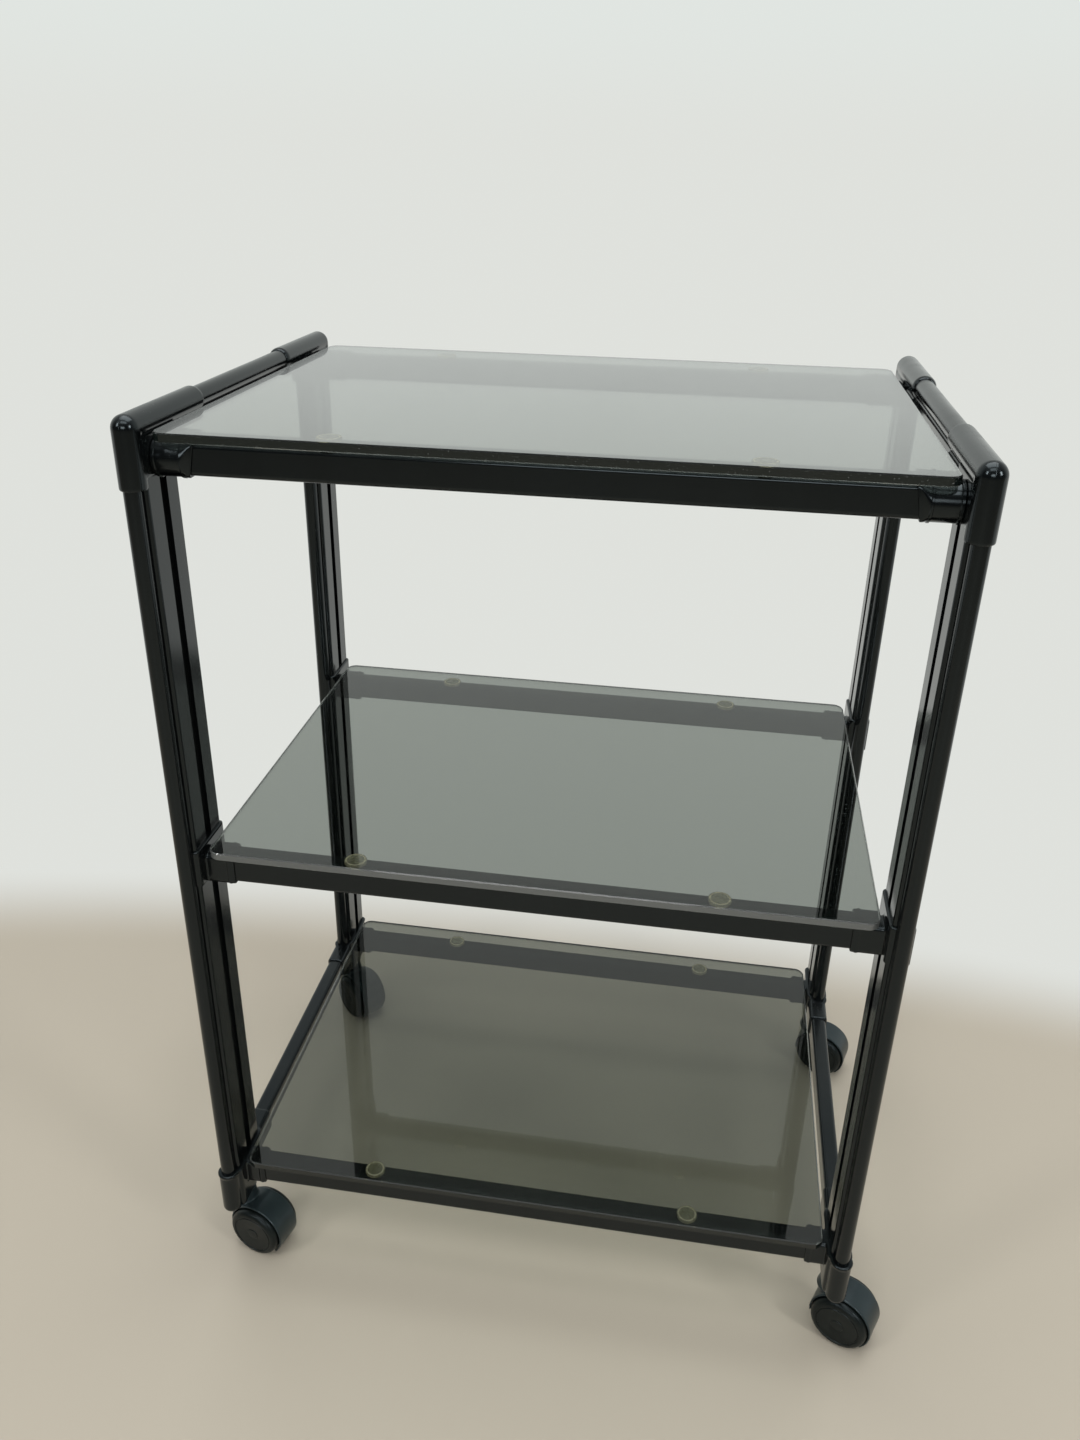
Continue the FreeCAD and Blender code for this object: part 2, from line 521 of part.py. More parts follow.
def bottom_joint(corner, side, end):
    """A moulded shoe on the leg's foot, with sockets for two rails and a bore for the caster's stem."""
    name = f"bottom_joint_{corner}"
    x = f"{side} * {LEG_X}"
    low = LEVELS["bottom"]
    shoe = shoe_outline(name, side, end)
    cross = rail_socket(name, side, end, low, "Sizes.LowMouthCover")
    leg_face = "(Sizes.FrameDepth / 2 - Sizes.LegDepth)"
    side_wide = "Sizes.RailDeep + 2 * Sizes.SocketWall"
    side_tall = "Sizes.RailTall + 2 * Sizes.SocketWall"
    side_socket = round_block(
        f"{name}_side_socket", side_wide, "Sizes.ShoeReach + Sizes.ShoeWall", side_tall, x,
        f"{end} * ({leg_face} - (Sizes.ShoeReach - Sizes.ShoeWall) / 2)", f"{low} - Sizes.SocketWall",
        size("SocketRound"), "Y",
    )
    solid = fuse(f"{name}_solid", shoe, cross, side_socket)
    void_high = f"max(Sizes.ShoeRim; {low} + Sizes.RailTall + Sizes.SocketWall) + Sizes.Overrun"
    leg_void = leg_outline(f"{name}_leg", side, end, "Sizes.LegFoot", void_high, "Sizes.FitGap")
    room = "Sizes.RailEntry + Sizes.FitGap + Sizes.Overrun"
    mouth_y = f"({leg_face} - Sizes.ShoeReach - Sizes.Overrun)"
    side_void = round_block(
        f"{name}_side_void", "Sizes.RailDeep + 2 * Sizes.FitGap", room, "Sizes.RailTall + 2 * Sizes.FitGap", x,
        f"{end} * ({mouth_y} + ({room}) / 2)", f"{low} - Sizes.FitGap", size("RailRound"), "Y",
    )
    bore = rod(
        f"{name}_bore", "Sizes.StemRadius + Sizes.RunningFit",
        "Sizes.StemHead + Sizes.NeckGap - Sizes.ShoeLow + Sizes.Overrun",
        (f"{side} * {STEM_X}", stem_y(end), "Sizes.ShoeLow - Sizes.Overrun"),
    )
    keep(name, cut(name, solid, leg_void, side_void, rail_void(name, side, end, low), bore))


def stem_y(end):
    """Expression of the y of a caster's stem."""
    return f"({leg_front(end)} + Sizes.StemLead)"


def origin_plane(body, role):
    """A body's own origin plane, found by its role."""
    return next(item for item in body.Origin.OriginFeatures if item.Role == role)


def rectangle(body, name, wide, deep):
    """A sketch of a rectangle about the origin, bound to the two named sizes."""
    sketch = body.newObject("Sketcher::SketchObject", name)
    sketch.AttachmentSupport = (origin_plane(body, "XY_Plane"), [""])
    sketch.MapMode = "FlatFace"
    signs = ((-1, -1), (1, -1), (1, 1), (-1, 1))
    corners = [FreeCAD.Vector(across * size(wide) / 2, along * size(deep) / 2, 0) for across, along in signs]
    for first, second in zip(corners, corners[1:] + corners[:1]):
        sketch.addGeometry(Part.LineSegment(first, second), False)
    for line in range(4):
        sketch.addConstraint(Sketcher.Constraint("Coincident", line, 2, (line + 1) % 4, 1))
        sketch.addConstraint(Sketcher.Constraint("Vertical" if line % 2 else "Horizontal", line))
    sketch.addConstraint(Sketcher.Constraint("Symmetric", 0, 1, 2, 1, -1, 1))
    for alias, kind, line in ((wide, "DistanceX", 0), (deep, "DistanceY", 1)):
        number = sketch.addConstraint(Sketcher.Constraint(kind, line, 1, line, 2, size(alias)))
        sketch.renameConstraint(number, alias)
        sketch.setExpression(f"Constraints.{alias}", f"Sizes.{alias}")
    return sketch


def glass_shelf(level, low):
    """A sheet of glass with round corners and bevelled edges."""
    body = doc.addObject("PartDesign::Body", f"{level}_glass")
    deep = "TopGlassDeep" if level == "top" else "LowGlassDeep"
    sketch = rectangle(body, f"{level}_glass_sketch", "GlassWide", deep)
    pad = body.newObject("PartDesign::Pad", f"{level}_glass_sheet")
    pad.Profile = sketch
    pad.setExpression("Length", "Sizes.GlassThick")
    doc.recompute()
    corners = body.newObject("PartDesign::Fillet", f"{level}_glass_corners")
    corners.Base = (pad, [f"Edge{number}" for number in straight_edges(pad.Shape, "Z")])
    corners.setExpression("Radius", "Sizes.GlassCorner")
    doc.recompute()
    rims = [
        f"Edge{number}" for number, edge in enumerate(corners.Shape.Edges, start=1)
        if edge.BoundBox.ZLength < SAME
    ]
    arris = body.newObject("PartDesign::Chamfer", f"{level}_glass_arris")
    arris.Base = (corners, rims)
    arris.setExpression("Size", "Sizes.GlassArris")
    body.Tip = arris
    place(body, "0", "0", f"{low} + Sizes.RailTall + Sizes.PadThick")
    keep(f"{level}_glass", body)


def shelf_pads(level, low):
    """Four clear pads between the glass and the two rails under it."""
    discs = []
    for corner, side, end in CORNERS:
        centre = (f"{side} * Sizes.PadSpread / 2", f"{end} * {RAIL_Y}", f"{low} + Sizes.RailTall")
        discs.append(rod(f"{level}_pad_{corner}", "Sizes.PadRadius", "Sizes.PadThick", centre))
    group = doc.addObject("Part::Compound", f"{level}_pads")
    group.Links = discs
    keep(f"{level}_pads", group)


def stand_caster(shape, corner, side, end):
    """Put a caster piece, built about its stem at the floor, under its leg and turn it."""
    turn = FreeCAD.Rotation(FreeCAD.Vector(0, 0, 1), CASTER_TURNS[corner])
    shape.Placement = FreeCAD.Placement(FreeCAD.Vector(), turn)
    place(shape, f"{side} * {STEM_X}", stem_y(end), "0")
    return shape


def caster_hood(corner, side, end):
    """A barrel hood with a middle web and a neck; +X runs from the stem to the axle."""
    name = f"caster_hood_{corner}"
    half = "Sizes.HoodWide / 2"
    barrel = rod(f"{name}_barrel", "Sizes.HoodRadius", "Sizes.HoodWide", ("Sizes.Trail", f"-{half}", AXLE_Z), "Y")
    neck_top = "Sizes.ShoeLow - Sizes.NeckGap"
    neck = rod(f"{name}_neck", "Sizes.NeckRadius", f"{neck_top} - Sizes.NeckFoot", ("0", "0", "Sizes.NeckFoot"))
    solid = fuse(f"{name}_solid", barrel, neck)
    room = "((Sizes.HoodWide - Sizes.WebThick) / 2 + Sizes.Overrun)"
    bores = []
    for number, hand in enumerate((-1, 1), start=1):
        start_y = "Sizes.WebThick / 2" if hand > 0 else f"-Sizes.WebThick / 2 - {room}"
        start = ("Sizes.Trail", start_y, AXLE_Z)
        bores.append(rod(f"{name}_room_{number}", "Sizes.HoodRadius - Sizes.HoodWall", room, start, "Y"))
    wide = "2 * Sizes.HoodRadius + 2 * Sizes.Overrun"
    deep = "Sizes.HoodWide + 2 * Sizes.Overrun"
    under = "(Sizes.WheelRadius - Sizes.HoodRadius - Sizes.Overrun)"
    back_low = block(
        f"{name}_back_low", wide, deep, f"Sizes.HoodLow - {under}", "Sizes.Trail", "0", under
    )
    front_low = block(
        f"{name}_front_low", wide, deep, f"Sizes.HoodFront - {under}",
        "Sizes.Trail - Sizes.HoodRadius - Sizes.Overrun", "0", under,
    )
    axle_hole = rod(
        f"{name}_axle_hole", "Sizes.AxleRadius", "Sizes.HoodWide", ("Sizes.Trail", f"-{half}", AXLE_Z), "Y"
    )
    stem_hole = rod(
        f"{name}_stem_hole", "Sizes.StemRadius", f"{neck_top} - Sizes.StemFoot + Sizes.Overrun",
        ("0", "0", "Sizes.StemFoot"),
    )
    hood = cut(name, solid, *bores, back_low, front_low, axle_hole, stem_hole)
    keep(name, stand_caster(hood, corner, side, end))


def caster_stem(corner, side, end):
    """The steel pin that the caster turns on, fixed in the hood's neck."""
    name = f"caster_stem_{corner}"
    stem = rod(name, "Sizes.StemRadius", "Sizes.StemHead - Sizes.StemFoot", ("0", "0", "Sizes.StemFoot"))
    stem = stand_caster(stem, corner, side, end)
    stem.setExpression(".Placement.Base.z", "Sizes.StemFoot")
    keep(name, stem)


def caster_axle(corner, side, end):
    """The axle through the web, with its ends in the two wheels."""
    name = f"caster_axle_{corner}"
    half = "(Sizes.WebThick / 2 + Sizes.HubStand + Sizes.AxleEntry)"
    pin = rod(f"{name}_pin", "Sizes.AxleRadius", f"2 * {half}", ("Sizes.Trail", f"-{half}", AXLE_Z), "Y")
    keep(name, stand_caster(fuse_one(name, pin), corner, side, end))


def fuse_one(name, shape):
    """Wrap one shape so that it can be turned as a whole."""
    group = doc.addObject("Part::Compound", name)
    group.Links = [shape]
    return group


def caster_wheel(corner, side, end, hand_name, hand):
    """A plain disc wheel with a rounded outer edge and a hub that meets the web."""
    name = f"caster_wheel_{hand_name}_{corner}"
    inner = "Sizes.WebThick / 2 + Sizes.WheelPlay"
    outer = "Sizes.CasterWide / 2"
    start = f"{inner}" if hand > 0 else f"-({outer})"
    disc = rod(f"{name}_disc", "Sizes.WheelRadius", f"{outer} - ({inner})", ("Sizes.Trail", start, AXLE_Z), "Y")

    def outer_rim(shape):
        face = hand * size("CasterWide") / 2
        return [
            number for number, edge in enumerate(shape.Edges, start=1)
            if edge.BoundBox.YLength < SAME and abs(edge.BoundBox.YMin - face) < SAME
        ]

    soft = rounded(f"{name}_soft", disc, size("WheelShoulder"), outer_rim)
    hub_inner = "Sizes.WebThick / 2 + Sizes.HubStand"
    hub_long = "Sizes.WheelPlay - Sizes.HubStand + Sizes.Overrun"
    hub_start = f"{hub_inner}" if hand > 0 else f"-({hub_inner}) - ({hub_long})"
    hub = rod(f"{name}_hub", "Sizes.HubRadius", hub_long, ("Sizes.Trail", hub_start, AXLE_Z), "Y")
    solid = fuse(f"{name}_solid", soft, hub)
    bore_long = "Sizes.AxleEntry + Sizes.EndPlay + Sizes.Overrun"
    bore_inner = f"{hub_inner} - Sizes.Overrun"
    bore_start = f"{bore_inner}" if hand > 0 else f"-({bore_inner}) - ({bore_long})"
    bore_radius = "Sizes.AxleRadius + Sizes.RunningFit"
    bore = rod(f"{name}_bore", bore_radius, bore_long, ("Sizes.Trail", bore_start, AXLE_Z), "Y")
    keep(name, stand_caster(cut(name, solid, bore), corner, side, end))


def build():
    """Every sub-part, from the legs down to the wheels."""
    for corner, side, end in CORNERS:
        leg(corner, side, end)
        top_joint(corner, side, end)
        middle_joint(corner, side, end)
        bottom_joint(corner, side, end)
    for level, low in LEVELS.items():
        for end_name, end in ENDS.items():
            cross_rail(level, low, end_name, end)
        shelf_pads(level, low)
        glass_shelf(level, low)
    for side_name, side in SIDES.items():
        top_side_rail(side_name, side)
        bottom_side_rail(side_name, side)
    for corner, side, end in CORNERS:
        caster_hood(corner, side, end)
        caster_stem(corner, side, end)
        caster_axle(corner, side, end)
        caster_wheel(corner, side, end, "a", -1)
        caster_wheel(corner, side, end, "b", 1)


def export():
    """Check every object and write each sub-part to its own file."""
    doc.recompute()
    for item in doc.Objects:
        if {"Invalid", "Error"} & set(item.State):
            raise RuntimeError(f"{item.Label} failed: {item.State}")
    os.makedirs("parts", exist_ok=True)
    for part in parts:
        shape = part.Shape
        if shape.isNull() or not shape.isValid():
            raise RuntimeError(f"{part.Label} has no valid shape")
        shape.exportStep(f"parts/{part.Label}.step")
        print(f"{part.Label}: {len(shape.Solids)} solid(s), {shape.Volume:.0f} cubic mm")


build()
export()
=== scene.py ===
"""A serving trolley, dressed: enamelled legs and rails, moulded corners, smoked glass, twin-wheel casters."""
import logging
import math
from dataclasses import dataclass, field
from enum import Enum
from typing import Callable, Optional, Sequence, Union

import bmesh
import bpy
from mathutils import Matrix, Vector


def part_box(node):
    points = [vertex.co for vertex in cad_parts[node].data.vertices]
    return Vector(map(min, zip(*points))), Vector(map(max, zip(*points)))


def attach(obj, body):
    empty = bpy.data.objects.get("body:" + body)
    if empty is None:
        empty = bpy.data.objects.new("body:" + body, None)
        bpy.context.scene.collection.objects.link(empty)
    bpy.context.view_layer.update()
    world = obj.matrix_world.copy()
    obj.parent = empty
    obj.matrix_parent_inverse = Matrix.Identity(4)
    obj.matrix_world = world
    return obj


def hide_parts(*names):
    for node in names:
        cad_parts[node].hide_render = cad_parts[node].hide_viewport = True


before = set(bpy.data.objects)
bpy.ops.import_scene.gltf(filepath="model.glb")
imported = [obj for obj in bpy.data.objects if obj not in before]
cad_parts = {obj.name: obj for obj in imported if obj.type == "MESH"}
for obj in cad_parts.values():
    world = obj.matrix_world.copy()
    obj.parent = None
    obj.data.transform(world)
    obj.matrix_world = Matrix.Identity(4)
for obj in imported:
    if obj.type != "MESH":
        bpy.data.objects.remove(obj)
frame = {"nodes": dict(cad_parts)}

log = logging.getLogger("trolley")
MM = 0.001
Colour = tuple[float, float, float]
Pair = tuple[float, float]


class Axis(Enum):
    """A direction to build along: the run, then the two directions across it."""

    X = ((1, 0, 0), (0, 1, 0), (0, 0, 1))
    Y = ((0, 1, 0), (0, 0, 1), (1, 0, 0))
    Z = ((0, 0, 1), (1, 0, 0), (0, 1, 0))

    def point(self, along: float, across: float, over: float) -> Vector:
        """A point from its distances along the run and across it."""
        run, first, second = (Vector(v) for v in self.value)
        return run * along + first * across + second * over


class Side(Enum):
    """Left or right of the trolley, as the sign of x."""

    LEFT = -1
    RIGHT = 1


class End(Enum):
    """Front or rear of the trolley, as the sign of y."""

    FRONT = -1
    REAR = 1


class Level(Enum):
    """The three shelves."""

    TOP = "top"
    MIDDLE = "middle"
    BOTTOM = "bottom"


def corner_name(end: End, side: Side) -> str:
    """The name that a corner has in the frame."""
    return f"{end.name.lower()}_{side.name.lower()}"


CORNERS = [(end, side) for end in End for side in Side]


# ---- meshes


class Form:
    """Closed shells gathered into one mesh, in millimetres."""

    def __init__(self) -> None:
        """Start empty."""
        self.mesh = bmesh.new()

    def skin(self, rings: Sequence[Sequence[Vector]]) -> None:
        """Skin a run of rings with the same number of points, and cap both ends."""
        layers = [[self.mesh.verts.new(point) for point in ring] for ring in rings]
        for lower, upper in zip(layers, layers[1:]):
            for here, corner in enumerate(lower):
                after = (here + 1) % len(lower)
                self.mesh.faces.new((corner, lower[after], upper[after], upper[here]))
        self.mesh.faces.new(list(reversed(layers[0])))
        self.mesh.faces.new(layers[-1])

    def lathe(self, axis: Axis, centre: Pair, profile: Sequence[Pair], steps: int = 48) -> None:
        """Turn a profile about an axis.

        Args:
            axis: the direction of the axis.
            centre: where the axis lies, across and over.
            profile: (along, radius) pairs.
            steps: how many points go round.
        """
        rings = []
        for along, radius in profile:
            ring = []
            for step in range(steps):
                angle = 2 * math.pi * step / steps
                across = centre[0] + radius * math.cos(angle)
                over = centre[1] + radius * math.sin(angle)
                ring.append(axis.point(along, across, over))
            rings.append(ring)
        self.skin(rings)

    def rod(
        self, axis: Axis, start: float, end: float, centre: Pair, radius: float, soft: float = 0.7,
    ) -> None:
        """A round bar with softened ends."""
        profile = [(start, radius - soft), (start + 0.3 * soft, radius - 0.3 * soft), (start + soft, radius)]
        profile += [(end - soft, radius), (end - 0.3 * soft, radius - 0.3 * soft), (end, radius - soft)]
        self.lathe(axis, centre, profile)

    def bar(
        self, axis: Axis, start: float, end: float, centre: Pair, size: Pair,
        corner: float, soft: float = 0.8,
    ) -> None:
        """A bar of rounded rectangular section with softened ends.

        Args:
            axis: the direction that it runs in.
            start: where it begins.
            end: where it ends.
            centre: the middle of its section, across and over.
            size: how wide and tall its section is.
            corner: the radius of the section's corners.
            soft: how much its ends are rounded.
        """
        least_corner = 0.2
        stations = [(start, soft), (start + 0.3 * soft, 0.3 * soft), (start + soft, 0.0)]
        stations += [(end - soft, 0.0), (end - 0.3 * soft, 0.3 * soft), (end, soft)]
        rings = []
        for along, inset in stations:
            wide, tall = size[0] - 2 * inset, size[1] - 2 * inset
            section = rounded_ring(wide, tall, max(corner - inset, least_corner))
            rings.append([
                axis.point(along, centre[0] + across, centre[1] + over) for across, over in section
            ])
        self.skin(rings)

    def ball(self, centre: Vector, radius: float, steps: int = 32) -> None:
        """A round end, with a tiny flat at each pole so that its caps have an area."""
        open_share = 0.998
        profile = []
        for step in range(steps + 1):
            angle = math.pi * (step / steps - 0.5) * open_share
            profile.append((centre.z + radius * math.sin(angle), radius * math.cos(angle)))
        self.lathe(Axis.Z, (centre.x, centre.y), profile)

    def data(self, name: str) -> bpy.types.Mesh:
        """Turn the shells into mesh data in metres, with their normals outwards."""
        bmesh.ops.recalc_face_normals(self.mesh, faces=self.mesh.faces)
        bmesh.ops.scale(self.mesh, vec=(MM, MM, MM), verts=self.mesh.verts)
        mesh = bpy.data.meshes.new(name)
        self.mesh.to_mesh(mesh)
        self.mesh.free()
        return mesh

    def moulded(self, name: str, grain: float = 0.7, rounds: int = 4) -> bpy.types.Mesh:
        """Melt the shells into one skin with soft inner corners, as a mould gives.

        Args:
            name: the mesh's name.
            grain: size of the melted skin's faces, in millimetres.
            rounds: how often the skin is smoothed.

        Returns:
            The melted mesh, in metres.
        """
        piece = bpy.data.objects.new(name, self.data(name))
        bpy.context.scene.collection.objects.link(piece)
        melt = piece.modifiers.new("melt", "REMESH")
        melt.mode = "VOXEL"
        melt.voxel_size = grain * MM
        relax = piece.modifiers.new("relax", "SMOOTH")
        relax.factor = 0.5
        relax.iterations = rounds
        bpy.context.view_layer.update()
        view = piece.evaluated_get(bpy.context.evaluated_depsgraph_get())
        mesh = bpy.data.meshes.new_from_object(view)
        bpy.data.objects.remove(piece)
        mesh.name = name
        return mesh


def rounded_ring(wide: float, tall: float, corner: float, steps: int = 7) -> list[Pair]:
    """Points of a rounded rectangle about the origin."""
    points = []
    signs = ((1, 1), (-1, 1), (-1, -1), (1, -1))
    for quarter, (across, over) in enumerate(signs):
        for step in range(steps):
            angle = math.radians(90 * (quarter + step / (steps - 1)))
            points.append((
                across * (wide / 2 - corner) + corner * math.cos(angle),
                over * (tall / 2 - corner) + corner * math.sin(angle),
            ))
    return points


def round_ring(radius: float, steps: int = 7) -> list[Pair]:
    """Points of a circle, in step with those of a rounded rectangle."""
    margin = 3
    points = []
    for quarter in range(4):
        for step in range(steps):
            angle = math.radians(90 * quarter + margin + (90 - 2 * margin) * step / (steps - 1))
            points.append((radius * math.cos(angle), radius * math.sin(angle)))
    return points


def joined(name: str, meshes: Sequence[bpy.types.Mesh]) -> bpy.types.Mesh:
    """Several meshes in one."""
    whole = bmesh.new()
    for mesh in meshes:
        whole.from_mesh(mesh)
    data = bpy.data.meshes.new(name)
    whole.to_mesh(data)
    whole.free()
    return data


def moved(mesh: bpy.types.Mesh, name: str, change: Matrix) -> bpy.types.Mesh:
    """A copy of a mesh, moved, turned or mirrored."""
    copy = mesh.copy()
    copy.name = name
    copy.transform(change)
    if change.determinant() < 0:
        copy.flip_normals()
    return copy


def smooth(mesh: bpy.types.Mesh, degrees: float = 32.0) -> None:
    """Shade a mesh smooth but for its sharp edges."""
    mesh.shade_smooth()
    mesh.set_sharp_from_angle(angle=math.radians(degrees))


def put(
    mesh: bpy.types.Mesh, name: str, body: str, finish: bpy.types.Material, node: str,
) -> None:
    """Show a mesh as a piece that rides on a body and stands for a node of the frame.

    Args:
        mesh: the piece's mesh, in place, in metres.
        name: the piece's name.
        body: the body that it rides on.
        finish: its material.
        node: the node that it stands for.
    """
    piece = bpy.data.objects.new(name, mesh)
    bpy.context.scene.collection.objects.link(piece)
    smooth(mesh)
    mesh.materials.clear()
    mesh.materials.append(finish)
    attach(piece, body)
    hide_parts(node)
    log.info("%s: %d faces on %s", name, len(mesh.polygons), body)


def put_joints(
    make: Callable[[End], bpy.types.Mesh], kind: str, node: str, finish: bpy.types.Material,
) -> None:
    """Place one moulded joint on each leg, mirrored from the right-hand side to the left.

    Args:
        make: builds the right-hand joint of an end.
        kind: what the joint is called, before the corner's name.
        node: the name of its node, before the corner's name.
        finish: its material.
    """
    for end in End:
        mesh = make(end)
        for side in Side:
            name = corner_name(end, side)
            piece = moved(mesh, f"{kind}_{name}", Matrix.Diagonal((side.value, 1, 1, 1)))
            put(piece, f"{kind}_{name}", "frame", finish, f"{node}_{name}")


def dress(node: str, finish: bpy.types.Material) -> None:
    """Give a node of the frame its finish."""
    piece = frame["nodes"][node]
    smooth(piece.data)
    piece.data.materials.clear()
    piece.data.materials.append(finish)
    log.info("%s: %s", node, finish.name)


# ---- shaders

Feed = Union["Signal", float, Sequence[float], bpy.types.NodeSocket]


@dataclass(frozen=True)
class Signal:
    """A shader socket that takes part in Python expressions."""

    desk: "Desk"
    socket: bpy.types.NodeSocket

    def _math(self, operation: str, first: Feed, second: Feed = 0.0) -> "Signal":
        """One Math node on two values."""
        node = self.desk.add("ShaderNodeMath", {"operation": operation}, {0: first, 1: second})
        return Signal(self.desk, node.outputs[0])

    def __add__(self, other: Feed) -> "Signal":
        """Sum."""
        return self._math("ADD", self, other)

    __radd__ = __add__

    def __sub__(self, other: Feed) -> "Signal":
        """Difference."""
        return self._math("SUBTRACT", self, other)

    def __rsub__(self, other: Feed) -> "Signal":
        """Difference the other way round."""
        return self._math("SUBTRACT", other, self)

    def __mul__(self, other: Feed) -> "Signal":
        """Product."""
        return self._math("MULTIPLY", self, other)

    __rmul__ = __mul__

    def __pow__(self, other: Feed) -> "Signal":
        """Power."""
        return self._math("POWER", self, other)

    def __abs__(self) -> "Signal":
        """Size without sign."""
        return self._math("ABSOLUTE", self)

    def most(self, other: Feed) -> "Signal":
        """The larger of two values."""
        return self._math("MAXIMUM", self, other)

    def step(self, low: float, high: float, soft: bool = True) -> "Signal":
        """0 below low, 1 above high, smooth between."""
        kind = "SMOOTHSTEP" if soft else "LINEAR"
        names = {"Value": self, "From Min": low, "From Max": high}
        node = self.desk.add("ShaderNodeMapRange", {"interpolation_type": kind, "clamp": True}, names)
        return Signal(self.desk, node.outputs["Result"])


class Desk:
    """Where the nodes of one material, or of the world, are laid out."""

    def __init__(self, name: str, world: bool = False) -> None:
        """Start a material, or a world, with only its output."""
        self.owner = bpy.data.worlds.new(name) if world else bpy.data.materials.new(name)
        self.owner.use_nodes = True
        self.tree = self.owner.node_tree
        self.tree.nodes.clear()
        self.output = self.tree.nodes.new("ShaderNodeOutputWorld" if world else "ShaderNodeOutputMaterial")

    def add(self, kind: str, settings: Optional[dict] = None, feeds: Optional[dict] = None) -> bpy.types.Node:
        """Any node: its settings first, then the values or links of its sockets.

        Args:
            kind: the node's type.
            settings: attributes by name.
            feeds: values or links by socket name or number.

        Returns:
            The new node.
        """
        node = self.tree.nodes.new(kind)
        for name, value in (settings or {}).items():
            setattr(node, name, value)
        for name, value in (feeds or {}).items():
            self.feed(node.inputs[name], value)
        return node

    def feed(self, socket: bpy.types.NodeSocket, value: Feed) -> None:
        """Link a signal to a socket, or set the socket's own value."""
        if isinstance(value, Signal):
            self.tree.links.new(value.socket, socket)
        elif isinstance(value, bpy.types.NodeSocket):
            self.tree.links.new(value, socket)
        elif isinstance(value, (int, float)):
            socket.default_value = value
        elif socket.type == "RGBA":
            socket.default_value = (*value, 1.0)
        else:
            socket.default_value = value

    def place(self, kind: str = "Object") -> bpy.types.NodeSocket:
        """The point on the piece, in its own metres; for the world, the direction looked in."""
        return self.add("ShaderNodeTexCoord").outputs[kind]

    def xyz(self, kind: str = "Object") -> tuple[Signal, Signal, Signal]:
        """The three coordinates of the point on the piece, or of the direction."""
        split = self.add("ShaderNodeSeparateXYZ", None, {0: self.place(kind)})
        return tuple(Signal(self, split.outputs[number]) for number in range(3))

    def ray(self, kind: str) -> Signal:
        """1 where the ray is of a kind, such as a camera ray."""
        return Signal(self, self.add("ShaderNodeLightPath").outputs[kind])

    def either(self, amount: Feed, first: bpy.types.Node, second: bpy.types.Node) -> bpy.types.Node:
        """Two shaders mixed by an amount from 0 to 1."""
        return self.add("ShaderNodeMixShader", None, {0: amount, 1: first.outputs[0], 2: second.outputs[0]})

    def upward(self) -> Signal:
        """How far the surface faces up, from -1 to 1."""
        normal = self.add("ShaderNodeNewGeometry").outputs["Normal"]
        split = self.add("ShaderNodeSeparateXYZ", None, {0: normal})
        return Signal(self, split.outputs[2])

    def stretched(self, stretch: Sequence[float]) -> bpy.types.NodeSocket:
        """The point on the piece, scaled along the three axes."""
        feeds = {"Vector": self.place(), "Scale": stretch}
        return self.add("ShaderNodeMapping", None, feeds).outputs[0]

    def noise(self, scale: float, detail: float = 3.0, stretch: Sequence[float] = (1, 1, 1)) -> Signal:
        """Cloudy variation, with the scale in waves per metre."""
        feeds = {"Vector": self.stretched(stretch), "Scale": scale, "Detail": detail, "Roughness": 0.55}
        return Signal(self, self.add("ShaderNodeTexNoise", None, feeds).outputs[0])

    def cells(self, scale: float) -> Signal:
        """Distance to scattered points."""
        node = self.add("ShaderNodeTexVoronoi", {"feature": "F1"}, {"Vector": self.place(), "Scale": scale})
        return Signal(self, node.outputs["Distance"])

    def blend(self, amount: Feed, first: Feed, second: Feed) -> Signal:
        """A colour between two, by an amount from 0 to 1."""
        node = self.add("ShaderNodeMix", {"data_type": "RGBA"}, {0: amount, 6: first, 7: second})
        return Signal(self, node.outputs[2])

    def tinted(self, amount: Feed, colour: Colour, share: float) -> Signal:
        """A colour that goes, by an amount from 0 to 1, to a share of itself."""
        return self.blend(amount, colour, tuple(share * part for part in colour))

    def bump(self, height: Signal, depth: float, strength: float, under: Optional[Signal] = None) -> Signal:
        """A surface relief, with its depth in metres."""
        feeds = {"Height": height, "Distance": depth, "Strength": strength}
        if under is not None:
            feeds["Normal"] = under
        return Signal(self, self.add("ShaderNodeBump", None, feeds).outputs[0])

    def principled(self, **feeds: Feed) -> bpy.types.Node:
        """The surface shader, with underscores for spaces in its sockets' names."""
        named = {name.replace("_", " "): value for name, value in feeds.items()}
        return self.add("ShaderNodeBsdfPrincipled", None, named)

    def show(self, shader: bpy.types.Node) -> Union[bpy.types.Material, bpy.types.World]:
        """Make a shader the surface of the material or the world."""
        self.tree.links.new(shader.outputs[0], self.output.inputs["Surface"])
        return self.owner


